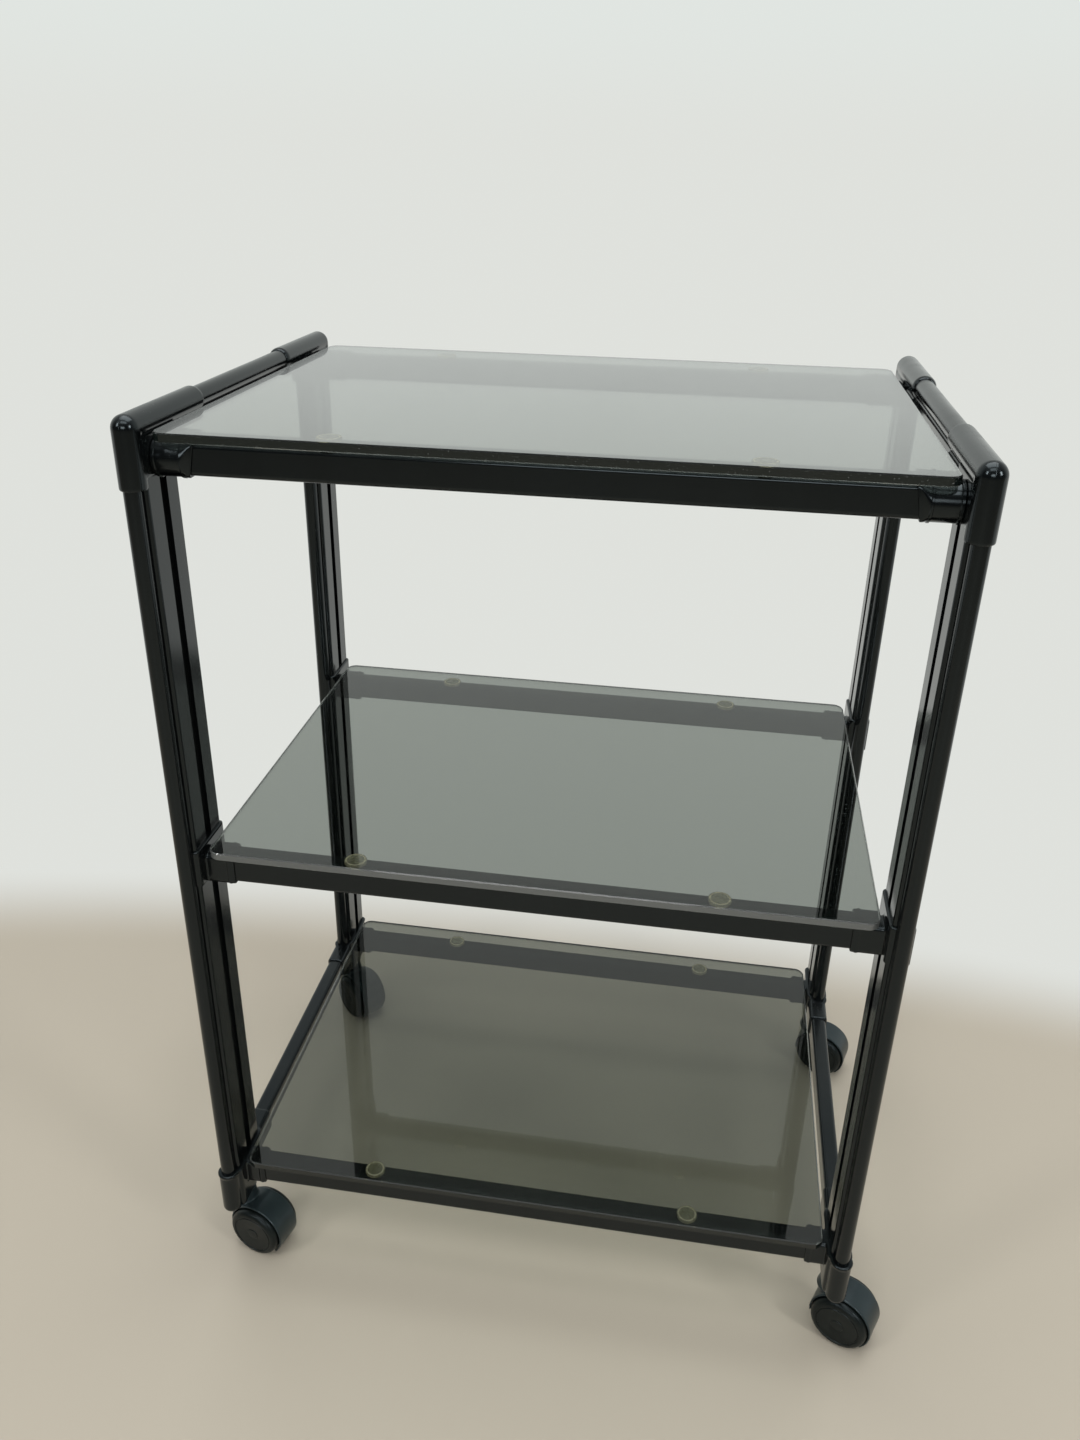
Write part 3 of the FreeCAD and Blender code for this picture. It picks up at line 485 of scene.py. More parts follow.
@dataclass(frozen=True)
class Enamel:
    """Near-black semi-gloss stove enamel on the tubes."""

    colour: Colour = (0.0021, 0.0025, 0.0027)
    dust: Colour = (0.028, 0.028, 0.026)
    roughness: float = 0.13
    gloss: float = 1.43
    gleam: Colour = (0.74, 0.88, 0.93)

    def make(self) -> bpy.types.Material:
        """Build the material."""
        desk = Desk("enamel")
        cloud = desk.noise(14, detail=4)
        streak = desk.noise(60, detail=4, stretch=(1, 1, 0.08))
        fine = desk.noise(900, detail=2)
        speck = 1 - desk.cells(420).step(0.05, 0.11)
        lying = desk.upward().step(0.25, 0.95) * cloud.step(0.35, 0.75)
        dusty = (lying * 0.35 + speck * cloud.step(0.5, 0.7) * 0.5).step(0.0, 1.0, soft=False)
        tone = desk.tinted(streak.step(0.35, 0.7) * 0.5, self.colour, 1.7)
        colour = desk.blend(dusty * 0.6, tone, self.dust)
        roughness = self.roughness + cloud.step(0.3, 0.8) * 0.07 + streak.step(0.5, 0.8) * 0.05 + dusty * 0.18
        peel = desk.bump(desk.noise(260, detail=2), depth=0.00004, strength=0.35)
        relief = desk.bump(fine, depth=0.00001, strength=0.25, under=peel)
        shader = desk.principled(
            Base_Color=colour, Roughness=roughness, Normal=relief, IOR=self.gloss, Specular_Tint=self.gleam,
        )
        return desk.show(shader)


@dataclass(frozen=True)
class Moulding:
    """Black moulded plastic with a faint grain and a parting line."""

    colour: Colour = (0.0021, 0.0026, 0.0028)
    worn: Colour = (0.016, 0.017, 0.017)
    roughness: float = 0.13
    gloss: float = 1.44
    gleam: Colour = (0.74, 0.88, 0.93)
    parting: float = 0.250

    def make(self) -> bpy.types.Material:
        """Build the material."""
        desk = Desk("joint_plastic")
        cloud = desk.noise(22, detail=4)
        grain = desk.noise(1500, detail=2)
        scuff = desk.noise(240, detail=5, stretch=(1, 1, 0.25)).step(0.62, 0.74)
        lying = desk.upward().step(0.3, 0.95) * cloud.step(0.4, 0.75)
        worn = (scuff * cloud.step(0.45, 0.65) * 0.7 + lying * 0.35).step(0.0, 1.0, soft=False)
        colour = desk.blend(worn, self.colour, self.worn)
        roughness = self.roughness + cloud.step(0.3, 0.8) * 0.08 + worn * 0.22
        across = desk.xyz()[0]
        line = 1 - abs(abs(across) - self.parting).step(0.00008, 0.00030)
        grained = desk.bump(grain, depth=0.00002, strength=0.3)
        relief = desk.bump(line, depth=0.0001, strength=0.6, under=grained)
        shader = desk.principled(
            Base_Color=colour, Roughness=roughness, Normal=relief, IOR=self.gloss, Specular_Tint=self.gleam,
        )
        return desk.show(shader)


@dataclass(frozen=True)
class SmokedGlass:
    """Grey float glass with wiped smears and painted light on the lower shelves' edges; its shadow lets the
    light through.
    """

    tint: Colour = (0.268, 0.292, 0.270)
    shade: Colour = (0.90, 0.91, 0.90)
    film: Colour = (0.72, 0.75, 0.73)
    edge: Colour = (0.006, 0.009, 0.008)
    # painted light: the middle shelf's edge colour, lighter as if lit
    painted_light_edge: Colour = (0.105, 0.112, 0.108)
    speck: Colour = (0.62, 0.62, 0.60)
    gloss: float = 1.52
    # heights that pick the lower shelves, whose edges carry painted light
    painted_light_height: Pair = (0.25, 0.35)
    painted_light_cutoff: Pair = (0.5, 0.6)

    def make(self) -> bpy.types.Material:
        """Build the material."""
        desk = Desk("smoked_glass")
        wipe = desk.noise(9, detail=5, stretch=(1, 0.35, 1))
        print_marks = desk.noise(70, detail=4).step(0.60, 0.78) * wipe.step(0.5, 0.7)
        speck = 1 - desk.cells(260).step(0.03, 0.07)
        roughness = 0.012 + wipe.step(0.45, 0.8) * 0.035 + print_marks * 0.06 + speck * 0.25
        colour = desk.blend(speck * 0.35, self.tint, self.speck)
        relief = desk.bump(desk.noise(4, detail=1), depth=0.0002, strength=0.05)
        body = desk.principled(
            Base_Color=colour, Roughness=roughness, Normal=relief, IOR=self.gloss, Transmission_Weight=1.0,
        )
        film = desk.add("ShaderNodeBsdfDiffuse", None, {"Color": self.film})
        slant = Signal(desk, desk.add("ShaderNodeLayerWeight", None, {"Blend": 0.5}).outputs["Facing"])
        veil = slant.step(0.55, 0.95) * (0.12 + wipe * 0.06)
        chips = desk.noise(900, detail=3).step(0.62, 0.8)
        slope = abs(desk.upward())
        height = desk.xyz()[2]
        # painted light: the middle shelf's edge is painted lighter, as if lit from above; the top and bottom
        # shelves keep the dark edge colour
        painted_light_shelves = 1 - height.step(*self.painted_light_cutoff)
        edge = desk.blend(painted_light_shelves * height.step(*self.painted_light_height), self.edge, self.painted_light_edge)
        # painted highlight: the arrises of the lower two shelves are coloured paler, as if catching light from
        # above
        painted_arris_highlight = slope.step(0.25, 0.45) * painted_light_shelves * 0.16
        ground = desk.principled(
            Base_Color=desk.blend(chips * 0.3 + painted_arris_highlight, edge, self.film), Roughness=0.10 + chips * 0.4,
            Normal=relief, IOR=self.gloss,
        )
        flat = slope.step(0.35, 0.9, soft=False)
        filmed = desk.either(flat, ground, desk.either(veil, body, film))
        clear = desk.add("ShaderNodeBsdfTransparent", None, {"Color": self.shade})
        return desk.show(desk.either(desk.ray("Is Shadow Ray"), filmed, clear))


@dataclass(frozen=True)
class ClearPad:
    """Soft clear plastic that has yellowed."""

    colour: Colour = (0.40, 0.37, 0.24)

    def make(self) -> bpy.types.Material:
        """Build the material."""
        desk = Desk("clear_pad")
        cloud = desk.noise(180, detail=4)
        colour = desk.tinted(cloud.step(0.3, 0.75), self.colour, 0.72)
        roughness = 0.22 + cloud.step(0.4, 0.7) * 0.2
        relief = desk.bump(desk.noise(700, detail=3), depth=0.00005, strength=0.4)
        shader = desk.principled(
            Base_Color=colour, Roughness=roughness, Normal=relief, IOR=1.45, Transmission_Weight=0.35,
        )
        return desk.show(shader)


@dataclass(frozen=True)
class WheelPlastic:
    """Hard dark plastic, dusty and scratched where it runs on the floor."""

    name: str
    colour: Colour
    roughness: float
    gloss: float = 1.46
    dust: Colour = (0.036, 0.040, 0.034)
    gleam: Colour = (0.76, 0.90, 0.95)
    reach: float = 0.05

    def make(self) -> bpy.types.Material:
        """Build the material."""
        desk = Desk(self.name)
        height = desk.xyz()[2]
        cloud = desk.noise(60, detail=5)
        scratch = desk.noise(420, detail=4, stretch=(1, 1, 0.15)).step(0.62, 0.70)
        low = 1 - (height + cloud * 0.012).step(0.004, self.reach)
        dusty = (low * cloud.step(0.35, 0.7) * 0.45 + scratch * 0.16).step(0.0, 1.0, soft=False)
        tone = desk.tinted(cloud.step(0.3, 0.7) * 0.6, self.colour, 1.5)
        colour = desk.blend(dusty, tone, self.dust)
        roughness = self.roughness + dusty * 0.35 + cloud.step(0.4, 0.8) * 0.08
        relief = desk.bump(desk.noise(1100, detail=3), depth=0.00003, strength=0.35)
        shader = desk.principled(
            Base_Color=colour, Roughness=roughness, Normal=relief, IOR=self.gloss, Specular_Tint=self.gleam,
        )
        return desk.show(shader)


@dataclass(frozen=True)
class BrightSteel:
    """Turned steel of the stems and axles."""

    colour: Colour = (0.46, 0.45, 0.44)
    tarnish: Colour = (0.20, 0.16, 0.12)

    def make(self) -> bpy.types.Material:
        """Build the material."""
        desk = Desk("steel")
        turning = desk.noise(3000, detail=2, stretch=(0.05, 0.05, 1))
        cloud = desk.noise(150, detail=4)
        colour = desk.blend(cloud.step(0.55, 0.8) * 0.5, self.colour, self.tarnish)
        roughness = 0.26 + turning * 0.12 + cloud.step(0.5, 0.8) * 0.2
        relief = desk.bump(turning, depth=0.00001, strength=0.4)
        return desk.show(desk.principled(Base_Color=colour, Roughness=roughness, Metallic=1.0, Normal=relief))


@dataclass(frozen=True)
class PaleFloor:
    """A plain pale floor that fades into the pale surround, with its distances in metres."""

    colour: Colour = (0.435, 0.392, 0.318)
    far: Colour = (0.74, 0.755, 0.72)
    middle: float = -0.60
    reach: float = 0.86
    fade: float = 0.16
    mirrored_from: Pair = (-0.6, -0.3)

    def make(self) -> bpy.types.Material:
        """Build the material."""
        desk = Desk("pale_floor")
        x, y, _ = desk.xyz()
        cloud = desk.noise(1.6, detail=4)
        colour = desk.tinted(cloud.step(0.3, 0.7) * 0.25, self.colour, 0.92)
        roughness = 0.45 + desk.noise(7, detail=4).step(0.3, 0.7) * 0.12
        relief = desk.bump(desk.noise(500, detail=3), depth=0.0001, strength=0.15)
        lit = desk.principled(Base_Color=colour, Roughness=roughness, Normal=relief, IOR=1.4)
        plain = desk.add("ShaderNodeEmission", None, {"Color": self.far, "Strength": 1.0})
        distance = ((x * 0.5) ** 2 + (y - self.middle) * (y - self.middle)) ** 0.5
        away = distance.step(self.reach, self.reach + self.fade)
        mirrored = desk.ray("Is Glossy Ray") * y.step(*self.mirrored_from)
        seen = desk.ray("Is Camera Ray").most(mirrored).most(desk.ray("Is Transmission Ray"))
        return desk.show(desk.either(away * seen, lit, plain))


@dataclass(frozen=True)
class PaleSurround:
    """The pale room: bright behind the trolley, dim behind the camera."""

    bright: Colour = (0.75, 0.785, 0.755)
    level_ahead: Colour = (0.74, 0.755, 0.72)
    dim: Colour = (0.050, 0.052, 0.055)
    above: Colour = (0.42, 0.43, 0.43)
    daylight: Colour = (0.93, 0.95, 0.96)
    level: float = 0.42

    def make(self) -> bpy.types.World:
        """Build the world."""
        desk = Desk("pale_surround", True)
        _, y, z = desk.xyz("Generated")
        walls = desk.blend(y.step(-0.30, 0.35), self.dim, self.bright)
        room = desk.blend(z.step(0.45, 0.9) * 0.8, walls, self.above)
        mirrored = desk.add("ShaderNodeBackground", None, {"Color": room, "Strength": 1.0})
        wall = desk.blend(z.step(0.0, 0.10), self.level_ahead, self.bright)
        plain = desk.add("ShaderNodeBackground", None, {"Color": wall, "Strength": 1.0})
        soft = desk.add("ShaderNodeBackground", None, {"Color": self.daylight, "Strength": self.level})
        seen = desk.ray("Is Camera Ray").most(desk.ray("Is Transmission Ray"))
        lit = desk.either(desk.ray("Is Glossy Ray"), soft, mirrored)
        return desk.show(desk.either(seen, lit, plain))


@dataclass
class Finishes:
    """Every finish of the trolley, made once."""

    enamel: bpy.types.Material = field(default_factory=lambda: Enamel().make())
    moulding: bpy.types.Material = field(default_factory=lambda: Moulding().make())
    glass: bpy.types.Material = field(default_factory=lambda: SmokedGlass().make())
    pad: bpy.types.Material = field(default_factory=lambda: ClearPad().make())
    hood: bpy.types.Material = field(default_factory=lambda: WheelPlastic(
        "hood_plastic", (0.0140, 0.0205, 0.0225), roughness=0.28,
    ).make())
    wheel: bpy.types.Material = field(default_factory=lambda: WheelPlastic(
        "wheel_plastic", (0.0026, 0.0038, 0.0034), roughness=0.36, gloss=1.36,
    ).make())
    steel: bpy.types.Material = field(default_factory=lambda: BrightSteel().make())


# ---- sub-assemblies


@dataclass
class LegFrame:
    """The leg's section and the heights that the joints are built to, in millimetres."""

    leg_x: float = 250.0
    nose_x: float = 251.2
    front: float = 181.0
    leg_deep: float = 52.0
    body_lead: float = 8.6
    nose: float = 5.8
    thick: float = 14.0
    rail_y: float = 155.0
    rail_deep: float = 14.0
    rail_tall: float = 20.5
    socket_more: float = 3.4
    socket_corner: float = 3.6
    ring_more: float = 0.9
    ring_wide: float = 1.8

    def nose_start(self, end: End) -> float:
        """The y where a leg's nose begins: both pairs face forwards."""
        return -self.front if end is End.FRONT else self.front - self.leg_deep

    def body_span(self, end: End, more: float) -> tuple[float, float]:
        """Middle and depth of a leg's flat body, larger all round by more."""
        start = self.nose_start(end)
        return start + (self.leg_deep + self.body_lead) / 2, self.leg_deep - self.body_lead + 2 * more

    def socket_size(self) -> Pair:
        """Depth and height of a rail socket's outside."""
        return self.rail_deep + self.socket_more, self.rail_tall + self.socket_more

    def socket(self, form: Form, mouth: float, centre: Pair, setback: float) -> None:
        """Add the right-hand socket of a cross rail, with a raised ring behind its mouth.

        Args:
            form: the shells that it joins.
            mouth: the x of its open end.
            centre: its middle, as y and z.
            setback: how far the ring stands back from the mouth.
        """
        size = self.socket_size()
        form.bar(Axis.X, mouth, self.leg_x, centre, size, corner=self.socket_corner, soft=1.0)
        ring = (size[0] + self.ring_more, size[1] + self.ring_more)
        start, corner = mouth + setback, self.socket_corner + 0.2
        form.bar(Axis.X, start, start + self.ring_wide, centre, ring, corner=corner, soft=0.5)

    def dress(self, finishes: Finishes) -> None:
        """Enamel the legs and every rail."""
        for end, side in CORNERS:
            dress(f"leg_{corner_name(end, side)}", finishes.enamel)
        for level in Level:
            for end in End:
                dress(f"{level.value}_rail_{end.name.lower()}", finishes.enamel)
        for side in Side:
            dress(f"top_rail_{side.name.lower()}", finishes.enamel)
            dress(f"bottom_rail_{side.name.lower()}", finishes.enamel)


@dataclass
class TopElbows:
    """Ball-cornered elbows that join a leg, a side tube and a cross rail."""

    frame: LegFrame
    height: float = 726.0
    sleeve: float = 8.8
    low: float = 688.5
    reach: float = 96.0
    cover_drop: float = 17.9
    cover_tall: float = 10.0
    cover_wide: float = 15.3
    web_drop: float = 6.5
    web_tall: float = 7.0
    web_wide: float = 11.0
    cheek_low: float = 695.0
    cheek_wall: float = 1.8
    cup: float = 12.6
    cup_mouth: float = 222.5
    ring: float = 0.35
    lean: float = 4.4
    mouth_deep: float = 2.8
    mouth_tall: float = 2.6

    def shell(self) -> bpy.types.Mesh:
        """The elbow at the rear right corner, melted into one skin."""
        form = Form()
        x = self.frame.leg_x
        ball_y = self.frame.front - self.frame.nose
        form.ball(Vector((x, ball_y, self.height)), self.sleeve)
        form.rod(Axis.Z, self.low, self.height, (x, ball_y), self.sleeve)
        mouth = ball_y - self.reach
        form.lathe(Axis.Y, (self.height, x), [
            (mouth, self.sleeve - 1.6), (mouth + 0.8, self.sleeve - 0.9), (mouth + 3.5, self.sleeve),
            (ball_y, self.sleeve),
        ])
        cover = (self.cover_tall, self.cover_wide)
        cover_centre = (self.height - self.cover_drop + self.cover_tall / 2, x)
        form.bar(Axis.Y, mouth + 3.0, ball_y - 2.0, cover_centre, cover, corner=2.4, soft=1.6)
        web_centre = (self.height - self.web_drop, x)
        form.bar(Axis.Y, mouth + 1.5, ball_y, web_centre, (self.web_tall, self.web_wide), corner=0.6, soft=0.5)
        back = self.frame.front - self.frame.leg_deep - self.cheek_wall
        cheek = (self.frame.thick + 2 * self.cheek_wall, ball_y - back)
        cheek_centre = (x, back + cheek[1] / 2)
        form.bar(Axis.Z, self.cheek_low, self.height - 4, cheek_centre, cheek, corner=3.0, soft=1.0)
        return form.moulded("elbow_shell")

    def cup_mesh(self) -> bpy.types.Mesh:
        """The round cup for the cross rail, with its rings and its mouth that turns square."""
        form = Form()
        y, z = self.frame.rail_y, self.cheek_low + self.frame.rail_tall / 2
        start, outer = self.cup_mouth, self.frame.leg_x
        radius, high, low = self.cup, self.cup + self.ring, self.cup - self.ring
        form.lathe(Axis.X, (y, z), [
            (start - 0.4, radius - 1.4), (start, radius - 0.1), (start + 0.4, high), (start + 1.5, high),
            (start + 1.9, low), (outer - 11.5, low), (outer - 10.9, high), (outer - 9.4, high),
            (outer - 8.8, radius - 0.2), (outer - 4, radius - 0.1), (outer - 2, radius - 2),
        ], steps=72)
        tall = self.frame.rail_tall + self.mouth_tall
        deep = self.frame.rail_deep + self.mouth_deep
        flat = rounded_ring(deep, tall, 3.2)
        curved = round_ring(radius - 0.2)
        rings = []
        for share, back in ((0.0, -0.2), (0.12, 0.8), (0.4, 2.0), (0.75, 3.4), (1.0, 4.8), (1.0, 5.8)):
            ring = []
            for (round_y, round_z), (flat_y, flat_z) in zip(curved, flat):
                along = start - back - self.lean * share * flat_z / tall
                across = round_y + (flat_y - round_y) * share
                over = round_z + (flat_z - round_z) * share
                ring.append(Axis.X.point(along, y + across, z + over))
            rings.append(ring)
        lip = 0.8
        rings.append([
            Axis.X.point(start - 6.1 - self.lean * over / tall, y + across, z + over)
            for across, over in rounded_ring(deep - lip, tall - lip, 2.8)
        ])
        form.skin(rings)
        return form.data("elbow_cup")

    def build(self, finishes: Finishes) -> None:
        """Place the four elbows."""
        mesh = joined("elbow", [self.shell(), self.cup_mesh()])
        for end, side in CORNERS:
            name = corner_name(end, side)
            mirror = Matrix.Diagonal((side.value, end.value, 1, 1))
            piece = moved(mesh, f"elbow_{name}", mirror)
            put(piece, f"elbow_{name}", "frame", finishes.moulding, f"top_joint_{name}")


@dataclass
class MiddleCollars:
    """Collars round the legs with sockets for the middle rails."""

    frame: LegFrame
    low: float = 392.5
    tall: float = 30.2
    rail_low: float = 392.3
    mouth: float = 220.0
    setback: float = 3.2
    wall: float = 1.8

    def mesh(self, end: End) -> bpy.types.Mesh:
        """The right-hand collar of one end."""
        form = Form()
        middle, deep = self.frame.body_span(end, self.wall)
        wide = self.frame.thick + 2 * self.wall
        top = self.low + self.tall
        form.bar(Axis.Z, self.low, top, (self.frame.leg_x, middle), (wide, deep), corner=3.4, soft=0.9)
        centre = (end.value * self.frame.rail_y, self.rail_low + self.frame.rail_tall / 2)
        self.frame.socket(form, self.mouth, centre, self.setback)
        return form.moulded("collar", rounds=3)

    def build(self, finishes: Finishes) -> None:
        """Place the four collars."""
        put_joints(self.mesh, "collar", "middle_joint", finishes.moulding)


@dataclass
class BottomShoes:
    """Moulded shoes on the legs' feet, with sockets for two rails."""

    frame: LegFrame
    low: float = 64.0
    rim: float = 107.0
    wall: float = 2.2
    rail_low: float = 84.4
    mouth: float = 225.0
    setback: float = 2.6
    reach: float = 24.0

    def mesh(self, end: End) -> bpy.types.Mesh:
        """The right-hand shoe of one end."""
        form = Form()
        low, rim = self.low, self.rim
        nose = self.frame.nose + self.wall
        lip = nose + 0.7
        nose_centre = (self.frame.nose_x, self.frame.nose_start(end) + self.frame.nose)
        form.lathe(Axis.Z, nose_centre, [
            (low, nose - 4.0), (low + 0.7, nose - 2.2), (low + 2.2, nose - 0.7), (low + 4.2, nose),
            (rim - 3.0, nose), (rim - 2.2, lip), (rim - 0.7, lip), (rim, nose),
        ])
        middle, deep = self.frame.body_span(end, self.wall)
        wide = self.frame.thick + 2 * self.wall
        centre = (self.frame.leg_x, middle)
        form.bar(Axis.Z, low, rim, centre, (wide, deep), corner=4.6, soft=3.4)
        form.bar(Axis.Z, rim - 4.0, rim, centre, (wide + 0.2, deep + 0.2), corner=4.7, soft=0.5)
        form.bar(Axis.Z, rim - 2.4, rim - 0.4, centre, (wide + 1.4, deep + 1.4), corner=5.2, soft=0.7)
        height = self.rail_low + self.frame.rail_tall / 2
        self.frame.socket(form, self.mouth, (end.value * self.frame.rail_y, height), self.setback)
        face = self.frame.front - self.frame.leg_deep
        inner, outer = face - self.reach, face + self.wall
        span = (inner, outer) if end is End.REAR else (-outer, -inner)
        side_deep, side_tall = self.frame.socket_size()
        side_centre, corner = (height, self.frame.leg_x), self.frame.socket_corner
        form.bar(Axis.Y, *span, side_centre, (side_tall, side_deep), corner=corner, soft=1.0)
        return form.moulded("shoe", rounds=3)

    def build(self, finishes: Finishes) -> None:
        """Place the four shoes."""
        put_joints(self.mesh, "shoe", "bottom_joint", finishes.moulding)


@dataclass
class Shelves:
    """Three smoked glass shelves, each on four clear pads."""

    frame: LegFrame
    pad: float = 8.2
    thick: float = 2.5
    spread: float = 130.0

    def pad_mesh(self, low: float, x: float, y: float) -> bpy.types.Mesh:
        """One dished pad with a raised rim."""
        form = Form()
        top, radius, hub = low + self.thick, self.pad, 0.05
        form.lathe(Axis.Z, (x, y), [
            (low, hub), (low, radius - 0.5), (low + 0.15, radius - 0.15), (low + 0.6, radius),
            (top - 0.7, radius), (top - 0.2, radius - 0.2), (top, radius - 0.7), (top, radius - 2.0),
            (top - 0.3, radius - 2.4), (top - 0.5, radius - 3.2), (top - 0.5, 2.2), (top - 0.2, 1.6),
            (top - 0.1, hub),
        ], steps=56)
        return form.data("pad")

    def build(self, finishes: Finishes) -> None:
        """Glaze the trolley and lay the pads."""
        for level in Level:
            dress(f"{level.value}_glass", finishes.glass)
            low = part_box(f"{level.value}_pads")[0].z / MM
            spots = [(x * self.spread, y * self.frame.rail_y) for x in (-1, 1) for y in (-1, 1)]
            mesh = joined(f"{level.value}_pads", [self.pad_mesh(low, x, y) for x, y in spots])
            put(mesh, f"clear_pads_{level.value}", "frame", finishes.pad, f"{level.value}_pads")


@dataclass
class Casters:
    """Twin-wheel casters: a barrel hood on a steel stem, a wheel on each side of its web."""

    frame: LegFrame
    wheel: float = 23.4
    wide: float = 35.0
    web: float = 10.0
    play: float = 0.5
    trail: float = 15.5
    hood: float = 25.8
    hood_wide: float = 25.0
    wall: float = 1.6
    hood_low: float = 6.0
    hood_front: float = 19.0
    hub: float = 6.5
    neck: float = 8.6
    neck_top: float = 63.7
    stem_lead: float = 33.2
    stem_out: float = 1.5

    def arc(self, form: Form, inner: float, outer: float, wide: float, steps: int = 64) -> None:
        """A thick plate bent round the axle, from the hood's low edge over the top to its front edge."""
        start = math.asin((self.hood_low - self.wheel) / self.hood)
        end = math.pi - math.asin((self.hood_front - self.wheel) / self.hood)
        section = rounded_ring(outer - inner, wide, min((outer - inner) / 2 - 0.05, 0.8), 4)
        rings = []
        for step in range(steps + 1):
            angle = start + (end - start) * step / steps
            ring = []
            for radius, across in section:
                reach = (inner + outer) / 2 + radius
                x, z = self.trail + reach * math.cos(angle), self.wheel + reach * math.sin(angle)
                ring.append(Vector((x, across, z)))
            rings.append(ring)
        form.skin(rings)

    def hood_mesh(self) -> bpy.types.Mesh:
        """The hood about its stem; +X runs from the stem to the axle."""
        form = Form()
        self.arc(form, self.hood - self.wall, self.hood, self.hood_wide)
        self.arc(form, 1.5, self.hood - 0.3, self.web)
        half = self.web / 2 + 0.2
        form.rod(Axis.Y, -half, half, (self.wheel, self.trail), self.hub, soft=0.4)
        top, neck, ring = self.neck_top, self.neck, self.neck + 0.6
        form.lathe(Axis.Z, (0, 0), [
            (40.0, 8.4), (42.0, 9.6), (45.5, 10.6), (48.5, 9.6), (52.0, 8.9), (56.0, neck),
            (top - 4.2, neck), (top - 3.4, ring), (top - 0.8, ring), (top, neck),
        ])
        return form.moulded("hood", grain=0.6)

    def wheel_mesh(self) -> bpy.types.Mesh:
        """The wheel on the +Y side: a dished disc with a ring, a rounded shoulder and a grooved tread."""
        form = Form()
        inner, outer, radius = self.web / 2 + self.play, self.wide / 2, self.wheel
        groove = radius - 0.35
        profile = [
            (inner + 1.2, 2.6), (inner - 0.2, 2.7), (inner - 0.2, 7.6), (inner, 8.0), (inner, radius - 2.2),
            (inner + 0.5, radius - 0.6), (inner + 1.4, radius - 0.1), (inner + 2.4, radius),
            (inner + 3.4, radius), (inner + 3.6, groove), (inner + 4.0, groove), (inner + 4.2, radius),
        ]
        shoulder, facets = 4.4, 8
        for step in range(facets + 1):
            angle = math.pi / 2 * step / facets
            along = outer - shoulder + shoulder * math.sin(angle)
            profile.append((along, radius - shoulder + shoulder * math.cos(angle)))
        profile += [
            (outer, radius - 5.0), (outer - 0.5, radius - 5.4), (outer - 0.6, radius - 6.0),
            (outer - 0.1, radius - 6.5), (outer - 0.25, 11.0), (outer - 0.55, 6.0), (outer - 0.65, 5.2),
            (outer - 0.2, 4.7), (outer - 0.1, 2.5), (outer, 0.05),
        ]
        form.lathe(Axis.Y, (self.wheel, self.trail), profile, steps=96)
        return form.data("wheel")

    def stand(self, end: End, side: Side) -> Matrix:
        """Where a caster stands, read from the frame's swivel and axle."""
        name = corner_name(end, side)
        x = side.value * (self.frame.leg_x + self.stem_out) * MM
        y = (self.frame.nose_start(end) + self.stem_lead) * MM
        low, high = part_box(f"caster_axle_{name}")
        centre = (low + high) / 2
        turn = math.atan2(centre.y - y, centre.x - x)
        return Matrix.Translation((x, y, 0)) @ Matrix.Rotation(turn, 4, "Z")

    def build(self, finishes: Finishes) -> None:
        """Place the four casters."""
        hood, wheel = self.hood_mesh(), self.wheel_mesh()
        flip = Matrix.Diagonal((1, -1, 1, 1))
        for end, side in CORNERS:
            name = corner_name(end, side)
            stand = self.stand(end, side)
            piece = moved(hood, f"hood_{name}", stand)
            put(piece, f"hood_{name}", f"caster_{name}", finishes.hood, f"caster_hood_{name}")
            for hand, change in (("a", stand @ flip), ("b", stand)):
                piece = moved(wheel, f"wheel_{hand}_{name}", change)
                put(
                    piece, f"wheel_{hand}_{name}", f"wheel_{hand}_{name}", finishes.wheel,
                    f"caster_wheel_{hand}_{name}",
                )
            dress(f"caster_stem_{name}", finishes.steel)
            dress(f"caster_axle_{name}", finishes.steel)


# ---- studio


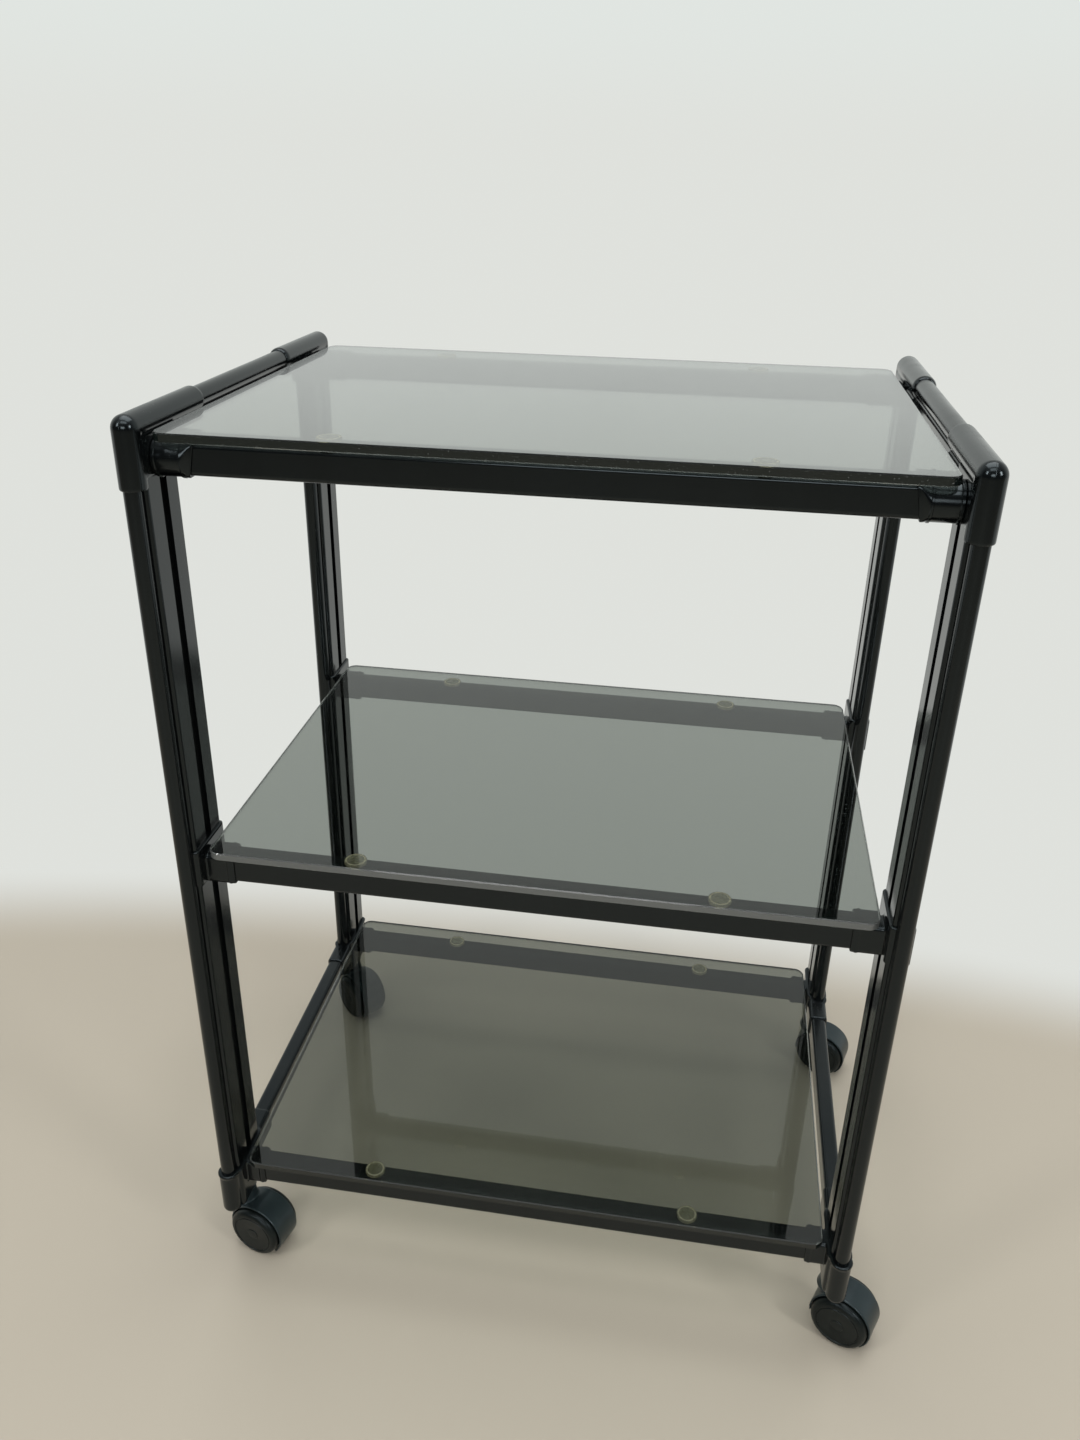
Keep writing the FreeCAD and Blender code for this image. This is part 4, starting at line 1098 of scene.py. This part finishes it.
@dataclass
class Studio:
    """A pale floor, soft light and the photographer's place.

    The camera's place is in metres, its angles are in degrees, and its focal length and drift are in
    pixels of a picture that is frame_tall pixels high. The floor's sizes are in millimetres.
    """

    eye: tuple[float, float, float] = (0.101143, -0.816714, 0.881781)
    yaw: float = 8.6683
    pitch: float = 25.9693
    roll: float = 1.0502
    focal: float = 1141.945
    drift: Pair = (-2.62, -16.31)
    frame_tall: float = 1440.0
    sensor: float = 36.0
    floor_half: float = 9000.0
    floor_thick: float = 30.0

    def camera(self) -> None:
        """Put the camera where the photograph was taken."""
        yaw, pitch, roll = (math.radians(angle) for angle in (self.yaw, self.pitch, self.roll))
        level = math.cos(pitch)
        forward = Vector((-math.sin(yaw) * level, math.cos(yaw) * level, -math.sin(pitch)))
        level_right = Vector((math.cos(yaw), math.sin(yaw), 0))
        level_up = level_right.cross(forward)
        right = level_right * math.cos(roll) + level_up * math.sin(roll)
        up = level_up * math.cos(roll) - level_right * math.sin(roll)
        data = bpy.data.cameras.new("camera")
        data.sensor_fit = "AUTO"
        data.sensor_width = self.sensor
        data.lens = self.focal / self.frame_tall * self.sensor
        data.shift_x = -self.drift[0] / self.frame_tall
        data.shift_y = self.drift[1] / self.frame_tall
        data.clip_start = 0.01
        data.clip_end = 50
        camera = bpy.data.objects.new("camera", data)
        bpy.context.scene.collection.objects.link(camera)
        turn = Matrix((right, up, -forward)).transposed().to_4x4()
        camera.matrix_world = Matrix.Translation(self.eye) @ turn
        bpy.context.scene.camera = camera

    def floor(self) -> None:
        """Lay the floor."""
        form = Form()
        half = self.floor_half
        corners = ((-half, -half), (half, -half), (half, half), (-half, half))
        form.skin([[Vector((x, y, z)) for x, y in corners] for z in (-self.floor_thick, 0.0)])
        piece = bpy.data.objects.new("floor", form.data("floor"))
        piece.data.materials.append(PaleFloor().make())
        bpy.context.scene.collection.objects.link(piece)

    def lamp(self, name: str, place: Sequence[float], aim: Sequence[float], size: Pair, power: float) -> None:
        """Hang one soft box.

        Args:
            name: the lamp's name.
            place: where it hangs, in metres.
            aim: the point that it faces.
            size: its width and height, in metres.
            power: its power, in watts.
        """
        data = bpy.data.lights.new(name, "AREA")
        data.shape = "RECTANGLE"
        data.size, data.size_y = size
        data.energy = power
        lamp = bpy.data.objects.new(name, data)
        bpy.context.scene.collection.objects.link(lamp)
        lamp.location = place
        lamp.rotation_mode = "QUATERNION"
        lamp.rotation_quaternion = (Vector(aim) - Vector(place)).to_track_quat("-Z", "Y")

    def light(self) -> None:
        """Light the studio: a pale surround and five soft boxes."""
        self.lamp("window_left", (-1.5, -1.5, 1.9), (0, 0, 0.5), (0.4, 0.9), 12)
        self.lamp("window_right", (1.7, -1.1, 1.5), (0, 0, 0.5), (0.4, 0.7), 12)
        self.lamp("bank", (0.1, -1.45, 2.9), (0, -0.2, 0.7), (2.0, 0.8), 16)
        self.lamp("front", (0.05, -3.2, 1.6), (0, 0, 0.5), (1.5, 0.8), 22)
        self.lamp("ceiling", (0.0, 0.3, 2.9), (0, 0, 0), (2.4, 1.8), 48)
        bpy.context.scene.world = PaleSurround().make()

    def build(self) -> None:
        """Set up the whole studio."""
        self.camera()
        self.floor()
        self.light()
        bpy.context.scene.view_settings.view_transform = "Standard"


def main() -> None:
    """Build the trolley and the studio."""
    logging.basicConfig(level=logging.INFO, format="%(message)s")
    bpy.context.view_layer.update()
    finishes = Finishes()
    legs = LegFrame()
    legs.dress(finishes)
    TopElbows(legs).build(finishes)
    MiddleCollars(legs).build(finishes)
    BottomShoes(legs).build(finishes)
    Shelves(legs).build(finishes)
    Casters(legs).build(finishes)
    Studio().build()
    bpy.context.view_layer.update()


if __name__ == "__main__":
    main()
